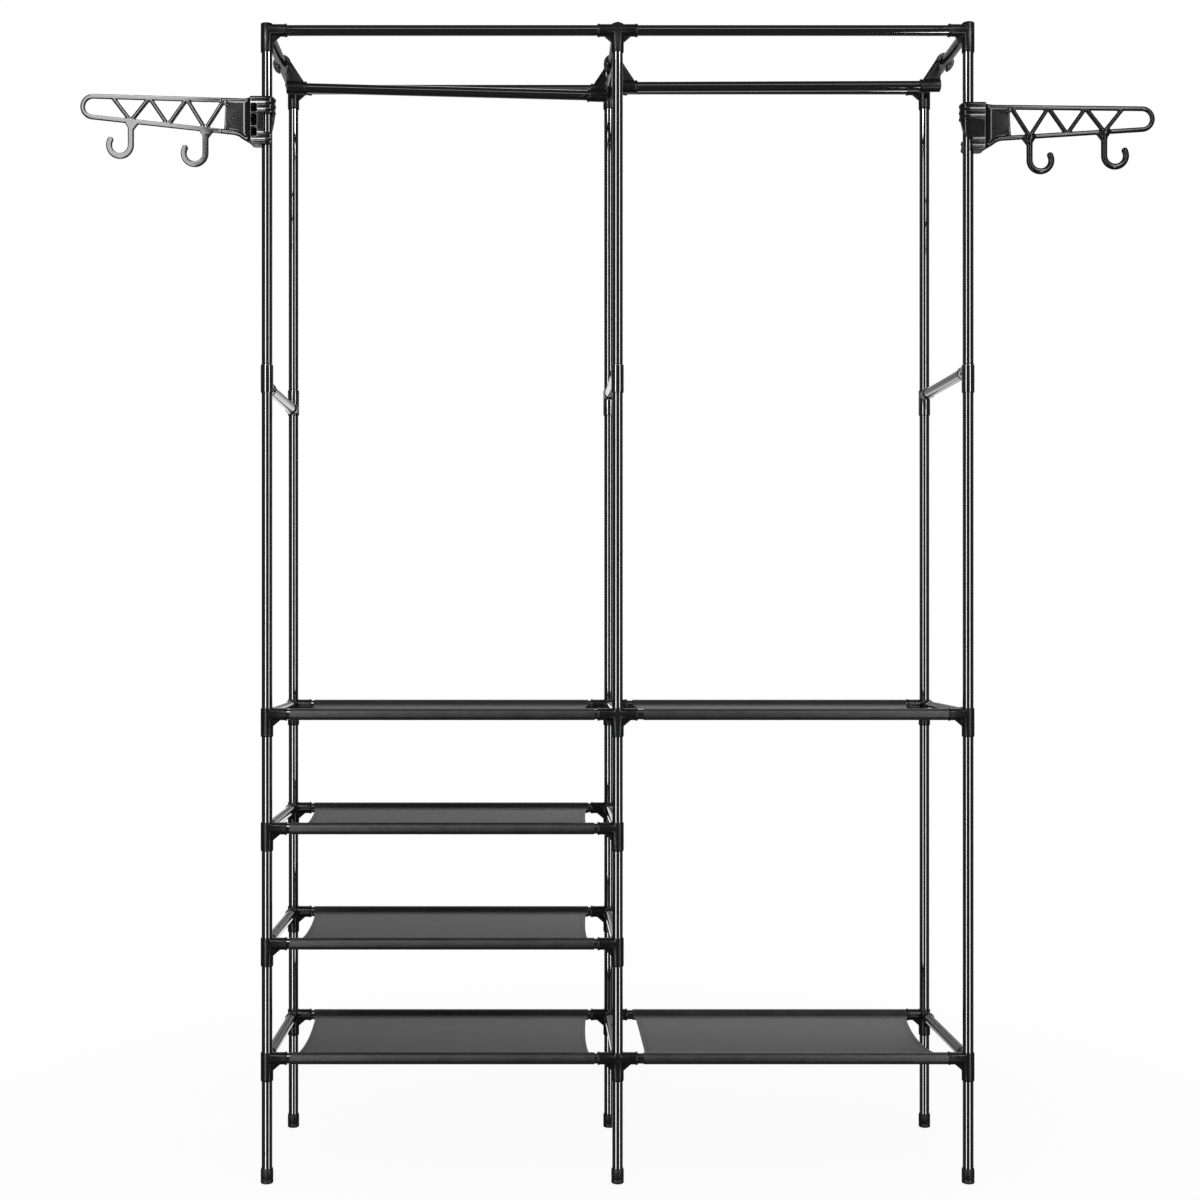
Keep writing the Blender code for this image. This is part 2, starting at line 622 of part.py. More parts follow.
def build():
    for old in list(bpy.data.objects):
        bpy.data.objects.remove(old)
    steel = material("black_steel", (0.012, 0.012, 0.013), 0.18, 0.6)
    plastic = material("black_plastic", (0.018, 0.018, 0.019), 0.42, 0.0)
    rubber = material("foot_plastic", (0.015, 0.015, 0.016), 0.6, 0.0)
    fabric = material("grey_fabric", (0.09, 0.09, 0.092), 0.95, 0.0)

    post_top = TOP_HEIGHT + SLEEVE_TOP - CAP_THICKNESS - FIT
    post_low = FOOT_SOLE + FIT
    post = tube_mesh("post", post_top - post_low)
    foot = foot_mesh()
    for row, row_sign in ROWS.items():
        for side, side_sign in SIDES.items():
            spot = (side_sign * BAY_WIDTH, row_sign * RACK_DEPTH / 2)
            place(f"{row}_{side}_post", post, steel, (*spot, post_low))
            place(f"{row}_{side}_foot", foot, rubber, (*spot, 0))

    bays = {"left": (1,), "middle": (-1, 1), "right": (-1,)}
    levels = {f"level_{number}": height for number, height in enumerate(SHELF_HEIGHTS, 1)}
    full_levels = ("level_1", "level_4")
    frames = {side: side_frame_mesh(f"{side}_frame", bays[side]) for side in SIDES}
    left_bay_frame = side_frame_mesh("left_bay_frame", (-1,))
    for level, height in levels.items():
        sides = SIDES if level in full_levels else {"left": -1, "middle": 0}
        for side, side_sign in sides.items():
            half_level = side == "middle" and level not in full_levels
            mesh = left_bay_frame if half_level else frames[side]
            place(f"{level}_{side}_side_frame", mesh, plastic, (side_sign * BAY_WIDTH, 0, height))
    for side, side_sign in SIDES.items():
        mesh = side_frame_mesh(f"top_{side}_frame", bays[side], capped=True)
        place(f"top_{side}_side_frame", mesh, plastic, (side_sign * BAY_WIDTH, 0, TOP_HEIGHT))
    brace = side_frame_mesh("brace", (), coupler=True)
    turned_brace = side_frame_mesh("turned_brace", (), inverted=True, coupler=True)
    rail_shift = SLEEVE_HEIGHT / 2 - SLEEVE_TOP
    for side, side_sign in SIDES.items():
        inverted = side == "left"
        height = BRACE_HEIGHT - rail_shift if inverted else BRACE_HEIGHT + rail_shift
        mesh = turned_brace if inverted else brace
        place(f"brace_{side}_side_frame", mesh, plastic, (side_sign * BAY_WIDTH, 0, height))

    rail_inset = POST_BORE + SOCKET_FLOOR + FIT
    rail = moved(
        tube_mesh("rail", BAY_WIDTH - 2 * rail_inset), Matrix.Rotation(math.radians(90), 4, "Y")
    )
    shelf = shelf_mesh()
    for level, height in [*levels.items(), ("top", TOP_HEIGHT)]:
        for bay, start in (("left", -BAY_WIDTH), ("right", 0)):
            if bay == "right" and level not in (*full_levels, "top"):
                continue
            for row, row_sign in ROWS.items():
                spot = (start + rail_inset, row_sign * RACK_DEPTH / 2, height)
                place(f"{level}_{bay}_{row}_rail", rail, steel, spot)
            if level != "top":
                shift = LEFT_SHELF_SHIFT if bay == "left" else RIGHT_SHELF_SHIFT
                spot = (start + BAY_WIDTH / 2 + shift, 0, height)
                place(f"{level}_{bay}_shelf", shelf, fabric, spot)

    bracket = bracket_mesh()
    rod_assembly("left", -1, LEFT_ROD_PLACE, LEFT_ROD_INNER_PLACE, steel, plastic, bracket)
    rod_assembly("right", 1, RIGHT_ROD_PLACE, RIGHT_ROD_INNER_PLACE, steel, plastic, bracket)

    front = -RACK_DEPTH / 2
    right_arm = arm_mesh("right_arm", RIGHT_ARM_LIFT)
    left_arm = arm_mesh("left_arm", LEFT_ARM_LIFT)
    place("right_hook_arm", right_arm, plastic, (BAY_WIDTH, front, TOP_HEIGHT - RIGHT_ARM_DROP))
    left_spot = (-BAY_WIDTH, front, TOP_HEIGHT - LEFT_ARM_DROP)
    place("left_hook_arm", left_arm, plastic, left_spot, turn=math.pi)


build()
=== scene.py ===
import math
import random

import bmesh
import bpy
from mathutils import Matrix, Vector, noise


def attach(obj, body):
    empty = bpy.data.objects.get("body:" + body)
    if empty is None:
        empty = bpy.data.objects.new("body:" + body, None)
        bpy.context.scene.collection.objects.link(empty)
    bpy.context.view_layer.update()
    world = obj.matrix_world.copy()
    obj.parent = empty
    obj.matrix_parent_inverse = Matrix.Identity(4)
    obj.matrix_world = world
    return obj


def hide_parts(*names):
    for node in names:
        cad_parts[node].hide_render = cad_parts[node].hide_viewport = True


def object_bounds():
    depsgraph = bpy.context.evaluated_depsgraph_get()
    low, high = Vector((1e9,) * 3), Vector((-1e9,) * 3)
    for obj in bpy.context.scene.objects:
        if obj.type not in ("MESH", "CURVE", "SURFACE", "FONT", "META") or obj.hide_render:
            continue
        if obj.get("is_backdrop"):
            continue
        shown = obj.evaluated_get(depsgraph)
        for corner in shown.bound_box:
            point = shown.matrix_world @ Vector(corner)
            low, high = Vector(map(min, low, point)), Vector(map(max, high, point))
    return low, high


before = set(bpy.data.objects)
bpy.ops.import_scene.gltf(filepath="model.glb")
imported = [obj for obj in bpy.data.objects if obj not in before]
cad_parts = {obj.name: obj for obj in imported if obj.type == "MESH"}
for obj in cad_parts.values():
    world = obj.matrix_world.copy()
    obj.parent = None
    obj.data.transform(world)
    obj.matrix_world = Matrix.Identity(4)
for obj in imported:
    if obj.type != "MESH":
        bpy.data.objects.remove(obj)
solid_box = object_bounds()

# The rack's grid and rail heights; all lengths are in metres
BAY_WIDTH = 0.514
RACK_DEPTH = 0.272
LEVELS = {"level_1": 0.1825, "level_2": 0.3505, "level_3": 0.5195, "level_4": 0.687}
FULL_LEVELS = ("level_1", "level_4", "top")
BRACE_HEIGHT = 1.179
TOP_HEIGHT = 1.6897
SIDES = {"left": -1, "middle": 0, "right": 1}
BAYS = {"left": -1, "right": 1}
ROWS = {"front": -1, "rear": 1}
QUARTER = math.pi / 2

# Steel tube, the sides of round pieces, and how far a cut runs past a surface
TUBE_RADIUS = 0.0078
TUBE_WALL = 0.0005
FIT = 0.0003
BORE = TUBE_RADIUS + FIT
ROUND = 48
CUT_PAST = 0.003

# Connectors; each rim is listed as steps outward and upward from its sleeve's end
POST_SLEEVE = 0.0092
RAIL_SLEEVE = 0.0089
SLEEVE_TOP = 0.0092
SLEEVE_HEIGHT = 0.0423
SLEEVE_REACH = 0.0295
SOCKET_FLOOR = 0.0022
CAP_THICKNESS = 0.002
RAIL_INSET = BORE + SOCKET_FLOOR + FIT
GUSSET_RUN = 0.0192
GUSSET_DROP = 0.0175
GUSSET_THICKNESS = 0.006
SLEEVE_FOOT = ((-0.0011, 0), (-0.0005, 0.0004), (-0.0001, 0.0014), (0, 0.0028))
MOUTH_BEAD = (
    (0, -0.0036), (0.0005, -0.0031), (0.0008, -0.0022),
    (0.0008, -0.0010), (0.0004, -0.0002), (-0.0002, 0),
)
CROWNS = {
    "open": ((0, -0.0010), (-0.0003, -0.0003), (-0.0010, 0), (-POST_SLEEVE, 0)),
    "coupler": ((0, -0.0026), (-0.0004, -0.0010), (-0.0011, 0), (-POST_SLEEVE, 0)),
    "flat": ((0, -0.0008), (-0.0003, -0.0002), (-0.0009, 0), (-POST_SLEEVE, 0)),
    "button": (
        (0, -0.0012), (-0.0004, -0.0003), (-0.0012, 0), (-0.0032, 0),
        (-0.0035, 0.0010), (-0.0044, 0.0018), (-0.0062, 0.0025), (-POST_SLEEVE, 0.0027),
    ),
    "rounded": (
        (0, 0.0004), (-0.0003, 0.0012), (-0.0011, 0.0018),
        (-0.0026, 0.0021), (-POST_SLEEVE, 0.0021),
    ),
}
OPEN_CROWNS = ("open", "coupler")

# How the front and the rear connector of a side frame are turned
TURNS = {"left": (0, -QUARTER), "middle": (0, math.pi), "right": (QUARTER, math.pi)}

# Feet, with their steps outward and upward
FOOT_RADIUS = 0.0092
FOOT_HEIGHT = 0.022
FOOT_SOLE = 0.004
FOOT_LIP = ((-0.0005, -0.0010), (-0.0001, -0.0024), (0, -0.0034))
FOOT_GROOVE = ((0, 0.0068), (-0.0003, 0.0064), (-0.0003, 0.0056), (0, 0.0052))
FOOT_EASE = ((0, 0.0014), (-0.0003, 0.0006), (-0.0010, 0.0001), (-0.0018, 0))
SOLE_HOLLOW = 0.0009

# Fabric shelves; the side curves are what the left and the right edge draw in at mid depth
SHELF_WIDTH = 0.446
CLOTH = 0.0006
CLOTH_LOOP = 0.00845
CLOTH_COLUMNS = 64
LOOP_STEPS = 18
PANEL_STEPS = 40
SEAM_SETBACK = 0.0125
SEAM_ALLOWANCE = 0.008
SEAM_DROP = 0.0009
LOOP_DROP = 0.0007
SIDE_INSET = 0.004
SIDE_CURVES = {"left": (0.002, 0.004), "right": (0.003, 0.006)}
SAG = 0.0032
SHELF_SHIFT = {"left": 0.0, "right": 0.004}
HEM_DROP = 0.00075
HANG_FRAMES = 14
HANGING = {
    "quality": 6, "mass": 0.12, "shrink_min": -0.0006, "vertex_group_mass": "held",
    "tension_stiffness": 40, "compression_stiffness": 22,
    "shear_stiffness": 14, "bending_stiffness": 0.9,
}

# Stitching; lengths and pitches are counted in the cloth's columns and rows
THREAD_RADIUS = 0.00026
THREAD_RISE = 0.00022
THREAD_SIDES = 6
STITCH_LIFT = 0.0003
SEAM_STITCH, SEAM_PITCH = 0.40, 0.56
HEM_STITCH, HEM_PITCH = 0.42, 0.62
# Along one stitch: share of its length, share of its thickness, height above the cloth
STITCH_SHAPE = ((0, 0.25, 0), (0.25, 1, THREAD_RISE), (0.75, 1, THREAD_RISE), (1, 0.25, 0))

# Hanging rods and brackets
ROD_DROP = 0.036
ROD_PLACES = {"left": (0.013, 0.055), "right": (0.004, 0.010)}
HOOK_PLAY = 0.0005
HOOK_WALL = 0.0057
HOOK_WIDTH = 0.012
HOOK_SWEEP = math.radians(256)
SOCKET_START = 0.0065
SOCKET_END = 0.0385
SOCKET_RADIUS = BORE + 0.0014
SOCKET_END_WALL = 0.002
SOCKET_HEEL = ((-0.0012, 0), (-0.0003, 0.0004), (0, 0.0013))
SOCKET_BEAD = ((0, -0.0038), (0.0005, -0.0032), (0.0007, -0.0018), (0.0004, -0.0004), (-0.0003, 0))
WEB_THICKNESS = 0.005
RIM_WIDTH = 0.0072
RIM_LEAN = math.radians(31)
SPINE_THICKNESS = 0.0024
ROD_INSET = SOCKET_START + SOCKET_END_WALL + FIT

# Hook arms: the clip, its block and its plate, whose foot and heel are given as reach and drop
ARM_HEIGHTS = {"left": 1.5555, "right": 1.5467}
ARM_LIFTS = {"left": 0.0224, "right": 0.0129}
ARM_LENGTH = 0.255
ARM_TIP = 0.0189
ARM_BAR = 0.0073
ARM_TOP = 0.0343
CLIP_RADIUS = BORE + 0.0042
CLIP_HEIGHT = 0.0705
CLIP_EASE = ((-0.0012, 0), (0, 0.0012))
BLOCK_LENGTH = 0.0233
BLOCK_FILLET = 0.0109
PLATE_END = 0.0628
PLATE_THICKNESS = 0.003
PLATE_FOOT = (0.0518, 0.0188)
PLATE_HEEL = (0.0357, 0.0249)
CLIP_TOE = 0.0188
BOSS_RADIUS = 0.0028
BOSS_RISE = 0.0012
FLAT_BACK = 0.0026

# Finger ridges, with their steps from the clip's face; most run up to a tilted seat
RIDGE = ((-0.0005, -0.0028), (0.0008, -0.0012), (0.0013, 0), (0.0008, 0.0012))
RIDGE_EDGE = ((-0.0005, 0.0028),)
RIDGE_SEAT = ((0.00045, 0.0024), (0, 0.0056), (-0.0005, 0.0058))
RIDGE_PITCH = 0.0098
RIDGE_MARGIN = 0.0038

# The clip's opening and the pockets behind the block
FINGER_EDGE = 0.0026
POCKET_START, POCKET_END = 0.0135, 0.0213
POCKET_FOOT = -0.02375
POCKET_HEIGHTS = (0.012, 0.0165, 0.012)
POCKET_WALL = 0.0035

# Truss, its layers listed as share of the width, thickness and easing
TRUSS_PITCH = 0.0547
TRUSS_HALF = 0.0031
TRUSS_LAYERS = ((1, 0.0046, 0.0007), (0.3, 0.0060, 0.0005))

# Coat hooks, their roots listed as depth below the chord and swelling
COAT_BEND = 0.016
COAT_BAR = 0.0046
COAT_DROP = 0.0312
COAT_ROOT = ((0, 1.9), (0.0045, 1.75), (0.0068, 1.3), (0.010, 1.02))
COAT_FLARE = ((0.003, -0.002), (-0.0125, -0.002), (-0.0035, -0.0135), (0.003, -0.0135))

# The studio: name, place, aim, width, height, watts, and whether only reflections see it
RACK_MIDDLE = (0, 0, 0.95)
LIGHTS = (
    ("left_tall_softbox", (-1.03, -1.46, 0.95), RACK_MIDDLE, 0.34, 3.4, 38, True),
    ("right_tall_softbox", (1.06, -1.3, 0.95), RACK_MIDDLE, 0.24, 3.4, 28, True),
    ("overhead_softbox", (0.05, -1.19, 2.18), (0.05, -0.136, 1.1), 1.36, 0.16, 1.7, True),
    ("left_high_softbox", (-0.92, -1.19, 2.28), (-0.92, -0.136, 1.55), 0.50, 0.24, 8, True),
    ("right_high_softbox", (1.03, -1.19, 2.28), (1.03, -0.136, 1.55), 0.50, 0.24, 8, True),
    ("key_panel", (-1.1, -2.4, 3.0), (0, 0, 0.7), 2.6, 2.6, 55, False),
    ("fill_panel", (1.6, -2.6, 1.6), (0, 0, 0.8), 2.2, 2.2, 22, False),
)
WORLD_AMBIENT = 0.55
WORLD_REFLECTED = 0.07
CAMERA_PLACE = (-0.126, -2.58, 0.823)


def clear_choice():
    if bpy.context.mode != "OBJECT":
        bpy.ops.object.mode_set(mode="OBJECT")
    bpy.ops.object.select_all(action="DESELECT")


def choose(piece):
    clear_choice()
    piece.select_set(True)
    bpy.context.view_layer.objects.active = piece


def named(name):
    piece = bpy.context.active_object
    piece.name = name
    piece.data.name = name
    return piece


def set_up(thing, **settings):
    for key, value in settings.items():
        setattr(thing, key, value)
    return thing


def apply_place():
    """Writes the chosen piece's place, turn and scale into its mesh."""
    bpy.ops.object.transform_apply(location=True, rotation=True, scale=True)


def settle(piece, turn=(0, 0, 0), place=(0, 0, 0)):
    """Turns and moves a piece, then writes its place into its mesh."""
    choose(set_up(piece, rotation_euler=turn, location=place))
    apply_place()
    return piece


def finished_by(piece, kind, **settings):
    """Adds a modifier, sets it and applies it."""
    choose(piece)
    set_up(piece.modifiers.new("step", kind), **settings)
    bpy.ops.object.modifier_apply(modifier="step")
    return piece


def eased(piece, width, angle, segments=2):
    """Rounds the edges that turn by more than an angle, in radians."""
    limits = {"limit_method": "ANGLE", "angle_limit": angle}
    return finished_by(piece, "BEVEL", width=width, segments=segments, **limits)


def smoothed(piece, angle=38):
    """Shades a piece smooth, but for edges that turn by more than an angle, in degrees."""
    choose(piece)
    bpy.ops.object.shade_smooth_by_angle(angle=math.radians(angle))
    return piece


def drawn(name, outline):
    """A line of points, pulled out one by one in edit mode."""
    clear_choice()
    bpy.ops.mesh.primitive_plane_add(size=0.001)
    piece = named(name)
    bpy.ops.object.mode_set(mode="EDIT")
    bpy.ops.mesh.select_all(action="SELECT")
    bpy.ops.mesh.merge(type="CENTER")
    bpy.ops.transform.translate(value=outline[0])
    for before, after in zip(outline, outline[1:]):
        step = Vector(after) - Vector(before)
        bpy.ops.mesh.extrude_vertices_move(TRANSFORM_OT_translate={"value": step})
    bpy.ops.mesh.select_all(action="SELECT")
    return piece


def stepped(radius, height, steps):
    """Outline points listed as steps outward and upward from a rim."""
    return [(radius + out, height + up) for out, up in steps]


def arc(centre, radius, first, last, steps):
    """Points along a circle, from one angle to another."""
    turns = [first + (last - first) * step / steps for step in range(steps + 1)]
    u, v = centre
    return [(u + radius * math.cos(turn), v + radius * math.sin(turn)) for turn in turns]


def close_up():
    """Turns the faces of the piece in edit mode outwards and leaves edit mode."""
    bpy.ops.mesh.select_all(action="SELECT")
    bpy.ops.mesh.normals_make_consistent(inside=False)
    bpy.ops.object.mode_set(mode="OBJECT")


def turned(name, outline):
    """A round moulding spun about Z from its outline, given as radius and height."""
    piece = drawn(name, [(radius, 0, height) for radius, height in outline])
    bpy.ops.mesh.spin(steps=ROUND, angle=math.tau, center=(0, 0, 0), axis=(0, 0, 1))
    bpy.ops.mesh.select_all(action="SELECT")
    bpy.ops.mesh.remove_doubles(threshold=0.000002)
    close_up()
    return piece


def cut_out(name, outline, thickness, edge=0.0, upright=True):
    """A plate cut to an outline, in the XZ plane or lying in XY, with its rims eased."""
    low = -thickness / 2
    piece = drawn(name, [(u, low, v) if upright else (u, v, low) for u, v in outline])
    bpy.ops.mesh.edge_face_add()
    pull = (0, thickness, 0) if upright else (0, 0, thickness)
    bpy.ops.mesh.extrude_region_move(TRANSFORM_OT_translate={"value": pull})
    close_up()
    return eased(piece, edge, 0.6) if edge else piece


def round_bar(name, radius, start, end, sides=ROUND, ends="NGON"):
    """A bar between two points, or an open tube where its ends are left out."""
    start, end = Vector(start), Vector(end)
    along = end - start
    clear_choice()
    sizes = {"vertices": sides, "radius": radius, "depth": along.length}
    bpy.ops.mesh.primitive_cylinder_add(end_fill_type=ends, **sizes)
    piece = set_up(named(name), rotation_mode="QUATERNION", location=(start + end) / 2)
    piece.rotation_quaternion = Vector((0, 0, 1)).rotation_difference(along)
    choose(piece)
    apply_place()
    piece.rotation_mode = "XYZ"
    return piece


def slab(name, low, high):
    low, high = Vector(low), Vector(high)
    clear_choice()
    bpy.ops.mesh.primitive_cube_add(size=1, location=(low + high) / 2, scale=high - low)
    piece = named(name)
    apply_place()
    return piece


def worked(piece, operation, tools, solver="EXACT"):
    """Adds the tools to the piece, or cuts them from it."""
    for tool in tools:
        finished_by(piece, "BOOLEAN", operation=operation, object=tool, solver=solver)
        bpy.data.objects.remove(tool)
    return piece


def joined(name, pieces):
    """Joins pieces into the first of them."""
    clear_choice()
    for piece in pieces:
        piece.select_set(True)
    bpy.context.view_layer.objects.active = pieces[0]
    bpy.ops.object.join()
    return named(name)


def copied(pattern, name, matrix):
    """A copy with its own mesh, set in its place."""
    piece = pattern.copy()
    piece.data = pattern.data.copy()
    piece.name = name
    piece.data.name = name
    piece.data.transform(matrix)
    bpy.context.collection.objects.link(piece)
    return piece


def fitted(piece, finish, slot, *nodes, body="root"):
    """Gives a piece its finish and body, and hides the CAD parts it stands in for."""
    piece.data.materials.clear()
    piece.data.materials.append(finish)
    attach(piece, body)
    if nodes:
        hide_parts(*nodes)
    return piece


def brought_in(name, data):
    made = bpy.data.objects.new(name, data)
    bpy.context.collection.objects.link(made)
    return made


def finished_mesh(name, work):
    """Makes a piece of the mesh under construction."""
    mesh = bpy.data.meshes.new(name)
    work.to_mesh(mesh)
    work.free()
    return brought_in(name, mesh)


def put_away(patterns):
    for pattern in patterns:
        bpy.data.objects.remove(pattern)


class Wire:
    """One output of a finish's node, with arithmetic that adds its Math nodes."""

    def __init__(self, finish, socket):
        self.finish = finish
        self.socket = socket

    def maths(self, operation, first, second):
        return self.finish.node("ShaderNodeMath", {"operation": operation}, {0: first, 1: second})

    def __add__(self, other):
        return self.maths("ADD", self, other)

    __radd__ = __add__

    def __sub__(self, other):
        return self.maths("SUBTRACT", self, other)

    def __rsub__(self, other):
        return self.maths("SUBTRACT", other, self)

    def __mul__(self, other):
        return self.maths("MULTIPLY", self, other)

    __rmul__ = __mul__

    def __or__(self, other):
        """Either of two conditions that are 0 or 1."""
        return self.maths("MAXIMUM", self, other)


def grey(level, blue=None):
    """A grey, slightly cooler where its blue is given apart."""
    return (level, level, level if blue is None else blue, 1)


class Finish:
    """A node tree under construction, for a material or for the studio's world."""

    def __init__(self, owner):
        owner.use_nodes = True
        self.owner = owner
        self.tree = owner.node_tree
        self.tree.nodes.clear()

    def node(self, kind, settings=None, sockets=None, output=0):
        """Adds a node, and gives one of its outputs or a list of several."""
        made = set_up(self.tree.nodes.new(kind), **(settings or {}))
        for key, value in (sockets or {}).items():
            if isinstance(value, Wire):
                self.tree.links.new(value.socket, made.inputs[key])
            else:
                made.inputs[key].default_value = value
        if isinstance(output, tuple):
            return [Wire(self, made.outputs[each]) for each in output]
        return Wire(self, made.outputs[output])

    def object_place(self):
        return self.node("ShaderNodeTexCoord", output="Object")

    def rays(self):
        """Whether a ray is the camera's, a reflection's or through something clear."""
        kinds = ("Is Camera Ray", "Is Glossy Ray", "Is Transmission Ray")
        return self.node("ShaderNodeLightPath", output=kinds)

    def mix(self, share, first, second):
        """Blends two colours; 0, 6, 7 and 2 are the Mix node's sockets for colours."""
        sockets = {0: share, 6: first, 7: second}
        return self.node("ShaderNodeMix", {"data_type": "RGBA"}, sockets, 2)

    def spread(self, value, low, high, to_low=0.0, to_high=1.0):
        """Turns one range of values smoothly into another."""
        settings = {"interpolation_type": "SMOOTHSTEP"}
        sockets = {"From Min": low, "From Max": high, "To Min": to_low, "To Max": to_high}
        return self.node("ShaderNodeMapRange", settings, {"Value": value, **sockets})

    def length(self, vector):
        return self.node("ShaderNodeVectorMath", {"operation": "LENGTH"}, {0: vector}, "Value")

    def clouds(self, place, scale, detail=3.0, roughness=0.5):
        sockets = {"Vector": place, "Scale": scale, "Detail": detail, "Roughness": roughness}
        return self.node("ShaderNodeTexNoise", None, sockets)

    def stretched(self, place, scale):
        return self.node("ShaderNodeMapping", None, {"Vector": place, "Scale": scale})

    def relief(self, height, strength, depth):
        sockets = {"Height": height, "Strength": strength, "Distance": depth}
        return self.node("ShaderNodeBump", None, sockets)

    def painted(self, sockets):
        return self.surface(self.node("ShaderNodeBsdfPrincipled", None, sockets))

    def surface(self, shader):
        """Wires the shader to the output and gives the finished material or world."""
        kind = "World" if isinstance(self.owner, bpy.types.World) else "Material"
        end = self.tree.nodes.new(f"ShaderNodeOutput{kind}")
        self.tree.links.new(shader.socket, end.inputs["Surface"])
        return self.owner


def gloss_black_enamel():
    """Stoved black enamel under a wet-looking clear coat, faintly hazed."""
    enamel = Finish(bpy.data.materials.new("gloss_black_enamel"))
    place = enamel.object_place()
    haze = enamel.clouds(place, 38, detail=5)
    smears = enamel.clouds(enamel.stretched(place, (1, 1, 0.12)), 260)
    dust = enamel.spread(enamel.clouds(place, 700, detail=2), 0.66, 0.80)
    colour = enamel.mix(haze, grey(0.0022, 0.0024), grey(0.0042, 0.0045))
    return enamel.painted({
        "Base Color": enamel.mix(dust * 0.25, colour, grey(0.02, 0.021)),
        "Roughness": 0.045 + 0.03 * haze + 0.015 * smears,
        "IOR": 2.0,
        "Coat Weight": 1.0,
        "Coat Roughness": 0.03,
    })


def moulded_black(name, dark, light, dull, shine, texture):
    """Injection-moulded black plastic with a fine grain and rubbed patches."""
    plastic = Finish(bpy.data.materials.new(name))
    place = plastic.object_place()
    flow = plastic.clouds(place, 55, detail=4)
    grain = plastic.clouds(place, 1400, detail=2)
    rubs = plastic.spread(plastic.clouds(place, 420, detail=4), 0.56, 0.74)
    colour = plastic.mix(flow, dark, light)
    return plastic.painted({
        "Base Color": plastic.mix(rubs * 0.3, colour, grey(0.02, 0.0205)),
        "Roughness": dull * (0.9 + 0.25 * flow - 0.18 * rubs),
        "Specular IOR Level": shine,
        "Normal": plastic.relief(grain, texture, 0.00005),
    })


def shelf_fabric():
    """Plain-woven dark grey cloth, its threads running with the cut."""
    cloth = Finish(bpy.data.materials.new("grey_woven_cloth"))
    cut = cloth.node("ShaderNodeUVMap", {"uv_map": "cut"})
    sockets = {"Vector": cut, "Scale": 55, "Distortion": 0.6, "Detail": 1, "Detail Scale": 2}
    threads = []
    for direction in ("X", "Y"):
        settings = {"wave_type": "BANDS", "bands_direction": direction}
        threads.append(cloth.node("ShaderNodeTexWave", settings, sockets, "Fac"))
    weave = threads[0] * 0.5 + threads[1] * 0.5
    mottle = cloth.clouds(cut, 34, detail=6, roughness=0.62)
    slubs = cloth.clouds(cloth.stretched(cut, (1, 14, 1)), 120)
    patches = cloth.spread(mottle, 0.3, 0.7)
    shade = cloth.mix(patches, grey(0.009, 0.0093), grey(0.017, 0.0174))
    shade = cloth.mix(cloth.spread(slubs, 0.55, 0.75, to_high=0.4), shade, grey(0.04, 0.041))
    return cloth.painted({
        "Base Color": cloth.mix(weave * 0.30, shade, grey(0.005, 0.0052)),
        "Roughness": 0.36 + 0.12 * mottle + 0.06 * slubs,
        "Normal": cloth.relief(weave, 0.12, 0.0001),
    })


def sewing_thread():
    thread = Finish(bpy.data.materials.new("grey_sewing_thread"))
    twist = thread.clouds(thread.object_place(), 3000, detail=2)
    return thread.painted({
        "Base Color": thread.mix(twist, grey(0.018, 0.019), grey(0.05, 0.052)),
        "Roughness": 0.6,
        "Normal": thread.relief(twist, 0.4, 0.0001),
    })


def steel_tube(name, start, end):
    """A drawn tube: an open cylinder given its wall, with its sawn ends eased."""
    piece = round_bar(name, TUBE_RADIUS, start, end, ends="NOTHING")
    finished_by(piece, "SOLIDIFY", thickness=TUBE_WALL, offset=-1)
    return smoothed(eased(piece, 0.00012, 1.0, segments=1))


def gusset(name, turn):
    """The slanted web under a rail sleeve."""
    slope = (GUSSET_DROP - RAIL_SLEEVE) / (GUSSET_RUN - POST_SLEEVE)
    root, top = POST_SLEEVE / 2, RAIL_SLEEVE / 2
    outline = ((root, -top), (GUSSET_RUN + top / slope, -top), (root, -GUSSET_DROP - root * slope))
    return settle(cut_out(name, outline, GUSSET_THICKNESS, edge=0.0009), turn=(0, 0, turn))


def connector(name, turns, low, crown):
    """A moulded connector: post sleeve, rail sleeves with beaded mouths, and webs."""
    high = low + SLEEVE_HEIGHT
    foot = [(0, low), *stepped(POST_SLEEVE, low, SLEEVE_FOOT)]
    body = turned(name, foot + stepped(POST_SLEEVE, high, CROWNS[crown]))
    mouth = stepped(RAIL_SLEEVE, SLEEVE_REACH, MOUTH_BEAD)
    sleeve_outline = [(0, 0), (RAIL_SLEEVE, 0), *mouth, (0, SLEEVE_REACH)]
    parts, bores = [], []
    for turn in turns:
        lay = Matrix.Rotation(turn, 4, "Z") @ Matrix.Rotation(QUARTER, 4, "Y")
        sleeve = turned("sleeve", sleeve_outline)
        sleeve.data.transform(lay)
        parts.append(sleeve)
        if crown != "coupler":
            parts.append(gusset("web", turn))
        start = lay @ Vector((0, 0, BORE + SOCKET_FLOOR))
        end = lay @ Vector((0, 0, SLEEVE_REACH + CUT_PAST))
        bores.append(round_bar("bore", BORE, start, end))
    bore_top = high + CUT_PAST if crown in OPEN_CROWNS else high - CAP_THICKNESS
    bores.append(round_bar("bore", BORE, (0, 0, low - CUT_PAST), (0, 0, bore_top)))
    worked(body, "UNION", parts)
    worked(body, "DIFFERENCE", bores)
    return smoothed(body, angle=42)


